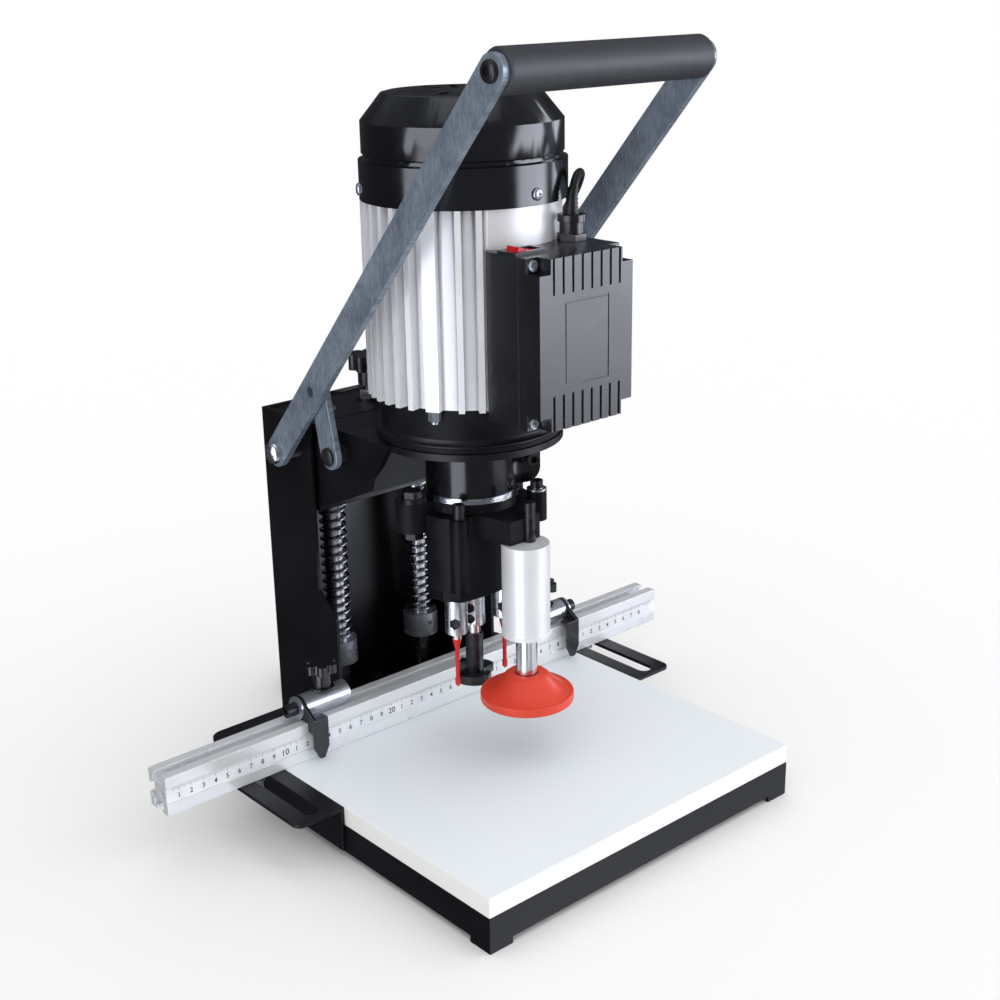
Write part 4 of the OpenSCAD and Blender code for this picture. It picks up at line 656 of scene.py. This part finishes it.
# Tie round the coiled cord: a flat band on one side of the bundle
tieSpec = {"centre": (16, 233, 0), "turn": 200, "inner": 26.2, "outer": 48.6, "low": 0.05, "high": 13.4,
           "wide": 7, "thick": 0.5, "corner": 2.5, "cornerSteps": 4}


# Outline of a rectangle with round corners, anticlockwise
def roundedOutline(left, right, low, high, corner, steps):
    spots = ((right - corner, high - corner), (left + corner, high - corner), (left + corner, low + corner),
             (right - corner, low + corner))
    turns = [math.radians(90 * k / steps) for k in range(steps + 1)]
    return [(x + corner * math.cos(turn + quarter * math.pi / 2),
             y + corner * math.sin(turn + quarter * math.pi / 2))
            for quarter, (x, y) in enumerate(spots) for turn in turns]


def makeTie(spec):
    outline = roundedOutline(spec["inner"], spec["outer"], spec["low"], spec["high"], spec["corner"],
                             spec["cornerSteps"])
    middle = Vector(((spec["inner"] + spec["outer"]) / 2, (spec["low"] + spec["high"]) / 2))
    turned = Matrix.Translation(spec["centre"]) @ Matrix.Rotation(math.radians(spec["turn"]), 4, "Z")
    work = bmesh.new()
    loops = []
    for side in (-0.5, 0.5):
        for shrink in (0, spec["thick"]):
            ring = []
            for point in outline:
                away = Vector(point) - middle
                spot = middle + away * (1 - shrink / away.length)
                ring.append(work.verts.new(turned @ Vector((spot.x, spec["wide"] * side, spot.y)) * mm))
            loops.append(ring)
    for a, b in ((0, 1), (1, 3), (3, 2), (2, 0)):
        for k in range(len(outline)):
            n = (k + 1) % len(outline)
            work.faces.new((loops[a][k], loops[a][n], loops[b][n], loops[b][k]))
    bmesh.ops.recalc_face_normals(work, faces=work.faces)
    mesh = meshFrom(work, "cordTie")
    smoothBy(mesh, 50)
    return addPiece("cord_tie", mesh, "frame", "cord_rubber")


cordTie = makeTie(tieSpec)

# Strain relief: a ribbed taper on the cord's first stretch above the gland
reliefSpec = {"from": 446.2, "ribs": 6, "pitch": 3.0, "wide": 5.2, "narrow": 3.7, "inside": 3.05,
              "ribTop": 0.66, "ribLean": 0.1, "grooveFrom": 0.70, "grooveTo": 0.98, "groove": 0.84,
              "axis": (34.6, -56.45), "steps": 32, "leads": 6, "smoothing": 6}


def reliefOutline(spec):
    outline = [(spec["inside"], spec["from"])]
    for k in range(spec["ribs"]):
        radius = spec["wide"] + (spec["narrow"] - spec["wide"]) * k / (spec["ribs"] - 1)
        low = spec["from"] + k * spec["pitch"]
        outline += [(radius, low), (radius - spec["ribLean"], low + spec["pitch"] * spec["ribTop"]),
                    (radius * spec["groove"], low + spec["pitch"] * spec["grooveFrom"]),
                    (radius * spec["groove"], low + spec["pitch"] * spec["grooveTo"])]
    return outline + [(spec["inside"], outline[-1][1])]


# The taper is turned straight, then each point is moved on to the cord's own line
def makeRelief(spec):
    mesh = lathe("strainRelief", reliefOutline(spec), spec["axis"], spec["steps"])
    line = smoothRoute(cordRoute[:spec["leads"]], spec["smoothing"])
    for vertex in mesh.vertices:
        place = vertex.co / mm
        reach, k = place.z - line[0].z, 0
        while k < len(line) - 2 and (line[k + 1] - line[k]).length < reach:
            reach -= (line[k + 1] - line[k]).length
            k += 1
        way = (line[k + 1] - line[k]).normalized()
        turn = Vector((0, 0, 1)).rotation_difference(way)
        aside = Vector((place.x - spec["axis"][0], place.y - spec["axis"][1], 0))
        vertex.co = (line[k] + way * reach + turn @ aside) * mm
    return addPiece("strain_relief", mesh, "head", "cord_rubber")


strainRelief = makeRelief(reliefSpec)


# Solids that cut recesses into the CAD nodes: an outline in millimetres, sunk into a screw's head
def hexSocket(at, out=(0, 0, 1), size=5, depth=4):
    radius = size / 2 / math.cos(math.pi / 6)
    outline = [(radius * math.sin(math.pi / 3 * k), radius * math.cos(math.pi / 3 * k)) for k in range(6)]
    return {"outline": outline, "at": at, "out": out, "spin": 0, "depth": depth}


def crossSlot(at, out, size, depth, spin=0, armShare=0.12):
    far, near = size / 2, size * armShare
    outline = []
    for quarter in range(4):
        c, d = math.cos(math.pi / 2 * quarter), math.sin(math.pi / 2 * quarter)
        outline += [(c * x - d * y, d * x + c * y) for x, y in ((far, near), (near, near), (near, far))]
    return {"outline": outline, "at": at, "out": out, "spin": spin, "depth": depth}


def drillMesh(cut, proud=1.0):
    turn = Vector((0, 0, 1)).rotation_difference(Vector(cut["out"])).to_matrix().to_4x4()
    place = Matrix.Translation(cut["at"]) @ turn @ Matrix.Rotation(math.radians(cut["spin"]), 4, "Z")
    work = bmesh.new()
    ends = [[work.verts.new(place @ Vector((x, y, z)) * mm) for x, y in cut["outline"]]
            for z in (-cut["depth"], proud)]
    work.faces.new(ends[0][::-1])
    work.faces.new(ends[1])
    for k in range(len(ends[0])):
        n = (k + 1) % len(ends[0])
        work.faces.new((ends[0][k], ends[0][n], ends[1][n], ends[1][k]))
    bmesh.ops.recalc_face_normals(work, faces=work.faces)
    return meshFrom(work, "drill")


# Softened copies of the CAD nodes: width of the rounded edges in millimetres
edgeWidth = {
    "base_tray": 0.9, "table_board": 0.8, "left_ear_bracket": 0.7, "right_ear_bracket": 0.7, "column": 0.7,
    "column_top_plate": 0.5, "column_bolts": 0.2, "guide_rods": 0.4, "spring_collars": 0.5,
    "handle_pivot_bolts": 0.3, "mains_plug": 0.9, "stop_knob": 0.7, "fence_rail": 0.35,
    "fence_clamp_bolts": 0.3, "left_stop_block": 0.5, "right_stop_block": 0.5, "left_stop_finger": 0.5,
    "right_stop_finger": 0.5, "left_stop_knob": 0.5, "right_stop_knob": 0.5, "carriage": 0.6,
    "guide_bushes": 0.4, "motor_end_bell": 0.8, "motor_housing": 0.5, "fan_cover": 0.6,
    "motor_screws": 0.25, "switch_box": 0.8, "switch_cover": 0.7, "switch_frame": 0.4, "cable_gland": 0.5,
    "clamp_sleeve": 0.6, "gearbox_housing": 0.9, "gearbox_cover": 0.5, "gearbox_bolts": 0.4,
    "foot_cylinder": 0.7, "centre_spindle": 0.35, "hinge_cutter": 0.3, "left_spindle": 0.35,
    "right_spindle": 0.35, "left_bit": 0.15, "right_bit": 0.15, "foot_rod": 0.4, "foot_cup": 0.5,
    "rocker": 0.4, "handle_bars": 0.6, "grip": 1.2, "grip_bolts": 0.3, "link_bars": 0.6, "link_bolts": 0.3}
softSpec = {"weld": 2e-6, "flat": 0.6, "sharp": 32, "segments": 2}
finishFor = {"handle_bars": barFinish, "link_bars": barFinish, "handle_pivot_bolts": finishOf["bright_steel"]}

# Sockets and slots of the screws, in millimetres, and degrees round the spindle
pictureTurn = -130.1


def outward(turn):
    return Vector((math.cos(math.radians(turn)), math.sin(math.radians(turn)), 0))


def around(turn, radius, z):
    return Vector((*spindleAxis, z)) + radius * outward(turn)


recesses = {
    "grip_bolts": [hexSocket((side * 97.4, -121.1, 548.8), (side, 0, 0), size=5.5, depth=3)
                   for side in (-1, 1)],
    "gearbox_bolts": [hexSocket((-34.5, -11, 241)), hexSocket((34.5, -19, 245.6)),
                      hexSocket((33.74, -17.03, 261), (-0.342, -0.940, 0))],
    "left_stop_block": [hexSocket((-140, 71, 81.4), (-1, 0, 0))],
    "right_stop_block": [hexSocket((157, 71, 81.4), (1, 0, 0))],
    "motor_screws": [crossSlot(around(turn, 75.4, 462.5), outward(turn), size=4.6, depth=1.6)
                     for turn in (pictureTurn + 42, pictureTurn - 80, pictureTurn + 161)]
                    + [crossSlot((x, -89, z), (0, -1, 0), size=4.2, depth=1.3, spin=20)
                       for x in (-31, 45) for z in (317, 423)]}

inf = math.inf


# A test of faces: where their middle is, how far that is from an upright axis, and how they lean
def faces(x=(-inf, inf), z=(-inf, inf), lean=(-inf, inf), spot=spindleAxis, reach=inf):
    def chosen(centre, normal):
        limits = ((x, centre.x), (z, centre.z), (lean, normal.z))
        inside = all(low < value < high for (low, high), value in limits)
        return inside and math.hypot(centre.x - spot[0], centre.y - spot[1]) < reach

    return chosen


# The same for a chuck's pocket: close to the pocket's middle and under the chuck's round surface
def inPocket(spot, turn, heights, reach, barrel=8.6, flat=5):
    aim, side = outward(turn), outward(turn + 90)

    def chosen(centre, normal):
        off = Vector((centre.x - spot[0], centre.y - spot[1], 0))
        near = min(math.hypot(centre.z - height, off.dot(side)) for height in heights)
        return near < reach and off.length < barrel and off.dot(aim) > flat

    return chosen


oxide, steel = finishOf["black_oxide_steel"], finishOf["bright_steel"]

# Faces that take a second finish: bare ends, deep pockets, painted shade on the cup's underside and the
# board's band
paintedParts = {
    "gearbox_housing": (steel, faces(z=(236.5, 241.5), reach=36.6)),
    "gearbox_bolts": (steel, faces(z=(237.9, 239.9), spot=(34.5, -19), reach=8)),
    "gearbox_cover": (steel, faces(z=(-inf, 166), lean=(-inf, -0.9))),
    "left_spindle": (oxide, inPocket((-24, 8), pictureTurn - 6, heights=(141.5,), reach=4.8)),
    "right_spindle": (oxide, inPocket((24, 8), pictureTurn - 6, heights=(141.5,), reach=4.8)),
    "centre_spindle": (oxide, inPocket(spindleAxis, pictureTurn - 20, heights=(136, 145), reach=3.9)),
    "hinge_cutter": (steel, faces(z=(122.5, inf))),
    "left_bit": (steel, faces(z=(126.3, inf))),
    "right_bit": (steel, faces(z=(126.3, inf))),
    "left_stop_block": (oxide, faces(x=(-inf, -131.05))),
    "right_stop_block": (oxide, faces(x=(148.05, inf))),
    # Painted shade: the red cup's downward faces get a black finish, so that no red light bounces from them
    # onto the board
    "foot_cup": (mouldedBlack(), faces(lean=(-inf, -0.8))),
    "table_board": (edgeBand(), faces(lean=(-0.6, 0.6)))}


def softened(node, width, spec):
    mesh = nodes[node].data.copy()
    work = bmesh.new()
    work.from_mesh(mesh)
    bmesh.ops.remove_doubles(work, verts=work.verts, dist=spec["weld"])
    bmesh.ops.dissolve_limit(work, angle_limit=math.radians(spec["flat"]), verts=work.verts, edges=work.edges)
    work.to_mesh(mesh)
    work.free()
    smoothBy(mesh, spec["sharp"])
    obj = linked(node + "_edges", mesh)
    drills = [linked("drill", drillMesh(cut)) for cut in recesses.get(node, [])]
    for number, drill in enumerate(drills):
        hole = obj.modifiers.new(f"recess{number}", "BOOLEAN")
        hole.operation, hole.solver, hole.object = "DIFFERENCE", "EXACT", drill
    bevel = obj.modifiers.new("edges", "BEVEL")
    bevel.width = width * mm
    bevel.segments = spec["segments"]
    bevel.limit_method = "ANGLE"
    bevel.angle_limit = math.radians(spec["sharp"])
    bevel.harden_normals = True
    bevel.use_clamp_overlap = True
    made = baked(obj, node)
    for drill in drills:
        bpy.data.objects.remove(drill)
    piece = addPiece(node + "_finished", made, bodyOf[node], slotOf[node], finishFor.get(node))
    if node in paintedParts:
        finish, chosen = paintedParts[node]
        made.materials.append(finish)
        for polygon in made.polygons:
            polygon.material_index = int(chosen(Vector(polygon.center) / mm, polygon.normal))
    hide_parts(node)
    return piece


finished = {node: softened(node, width, softSpec) for node, width in edgeWidth.items()}
for node, obj in nodes.items():
    if node not in edgeWidth:
        obj.data.materials.clear()
        obj.data.materials.append(finishOf[slotOf[node]])
print("edges softened:", len(edgeWidth))

cordLength = sum((b - a).length for a, b in zip(cordLine, cordLine[1:]))
print("cord length", round(cordLength, 3))

# Studio: a pale floor, soft light from all round that is stronger at the right, and tall light panels.
# Angles are in degrees, counted to the right from the side that the picture was taken from.
studio = {"floor": 40, "paper": 0.93, "paperRoughness": 0.9, "facing": -131.3, "ambient": 0.78,
          "swing": 0.66, "keyTurn": 58, "keyRise": 42, "gloss": 0.05,
          "softTint": (1.0, 1.0, 1.0), "glossTint": (0.92, 0.96, 1.08), "panels": [
              {"turn": (-66, -21), "rise": (-13, 42), "light": 3.8, "soft": 2},
              {"turn": (-49, -13), "rise": (-60, -14), "light": 3.2, "soft": 2},
              {"turn": (-18, 62), "rise": (-60, 42), "light": 0.12, "soft": 4},
              {"turn": (62, 102), "rise": (-60, -26), "light": 1.3, "soft": 3},
              {"turn": (62, 102), "rise": (-14, 16), "light": 6.5, "soft": 5},
              {"turn": (114, 134), "rise": (-14, 30), "light": 3.4, "soft": 2},
              {"turn": (-180, 180), "rise": (26, 60), "light": 0.16, "soft": 8},
              {"turn": (-180, 180), "rise": (66, 95), "light": 1.2, "soft": 10}]}


def makeSky(spec):
    s = Shader("studioLight", bpy.data.worlds.new("studioLight"))
    x, y, z = (Wire(s, end) for end in s.node("SeparateXYZ", {}, {
        0: s.node("TexCoord", {}, {}).outputs["Generated"]}).outputs)
    facing = math.radians(spec["facing"])
    ahead = x * math.cos(facing) + y * math.sin(facing)
    aside = y * math.cos(facing) - x * math.sin(facing)
    turn = aside.work("ARCTAN2", aside, ahead) * math.degrees(1)
    rise = z.work("ARCSINE", z) * math.degrees(1)

    def window(wire, ends, soft):
        opened = s.range(wire, ends[0] - soft, ends[0] + soft, shape="SMOOTHSTEP")
        return opened * (1 - s.range(wire, ends[1] - soft, ends[1] + soft, shape="SMOOTHSTEP"))

    gloss = spec["gloss"]
    for panel in spec["panels"]:
        spread = window(rise, panel["rise"], panel["soft"])
        if panel["turn"] != (-180, 180):
            spread = spread * window(turn, panel["turn"], panel["soft"])
        gloss = spread * panel["light"] + gloss
    keyTurn, keyRise = math.radians(spec["keyTurn"]), math.radians(spec["keyRise"])
    toKey = ahead * (math.cos(keyRise) * math.cos(keyTurn)) + aside * (math.cos(keyRise) * math.sin(keyTurn))
    soft = (toKey + z * math.sin(keyRise)) * spec["swing"] + spec["ambient"]
    path = s.node("LightPath", {}, {}).outputs
    shiny, seen = Wire(s, path["Is Glossy Ray"]), Wire(s, path["Is Camera Ray"])
    strength = (shiny * gloss + (1 - shiny) * soft) * (1 - seen) + seen
    tint = s.blend(shiny, dark=spec["softTint"], light=spec["glossTint"])
    light = s.node("Background", {}, {"Color": tint, "Strength": strength})
    s.node("OutputWorld", {}, {"Surface": light.outputs[0]})
    s.material.cycles.sampling_method = "NONE"
    scene.world = s.material


def makeStudio(spec):
    mesh = bpy.data.meshes.new("floor")
    half = spec["floor"]
    corners = [(-half, -half, 0), (half, -half, 0), (half, half, 0), (-half, half, 0)]
    mesh.from_pydata(corners, [], [(0, 1, 2, 3)])
    floor = linked("floor", mesh)
    s = Shader("floorPaper")
    mesh.materials.append(s.surface(colour=(*[spec["paper"]] * 3, 1), roughness=spec["paperRoughness"],
                                    specular=0.0))
    floor.visible_glossy = False
    makeSky(spec)
    scene.view_settings.view_transform = "Standard"


makeStudio(studio)
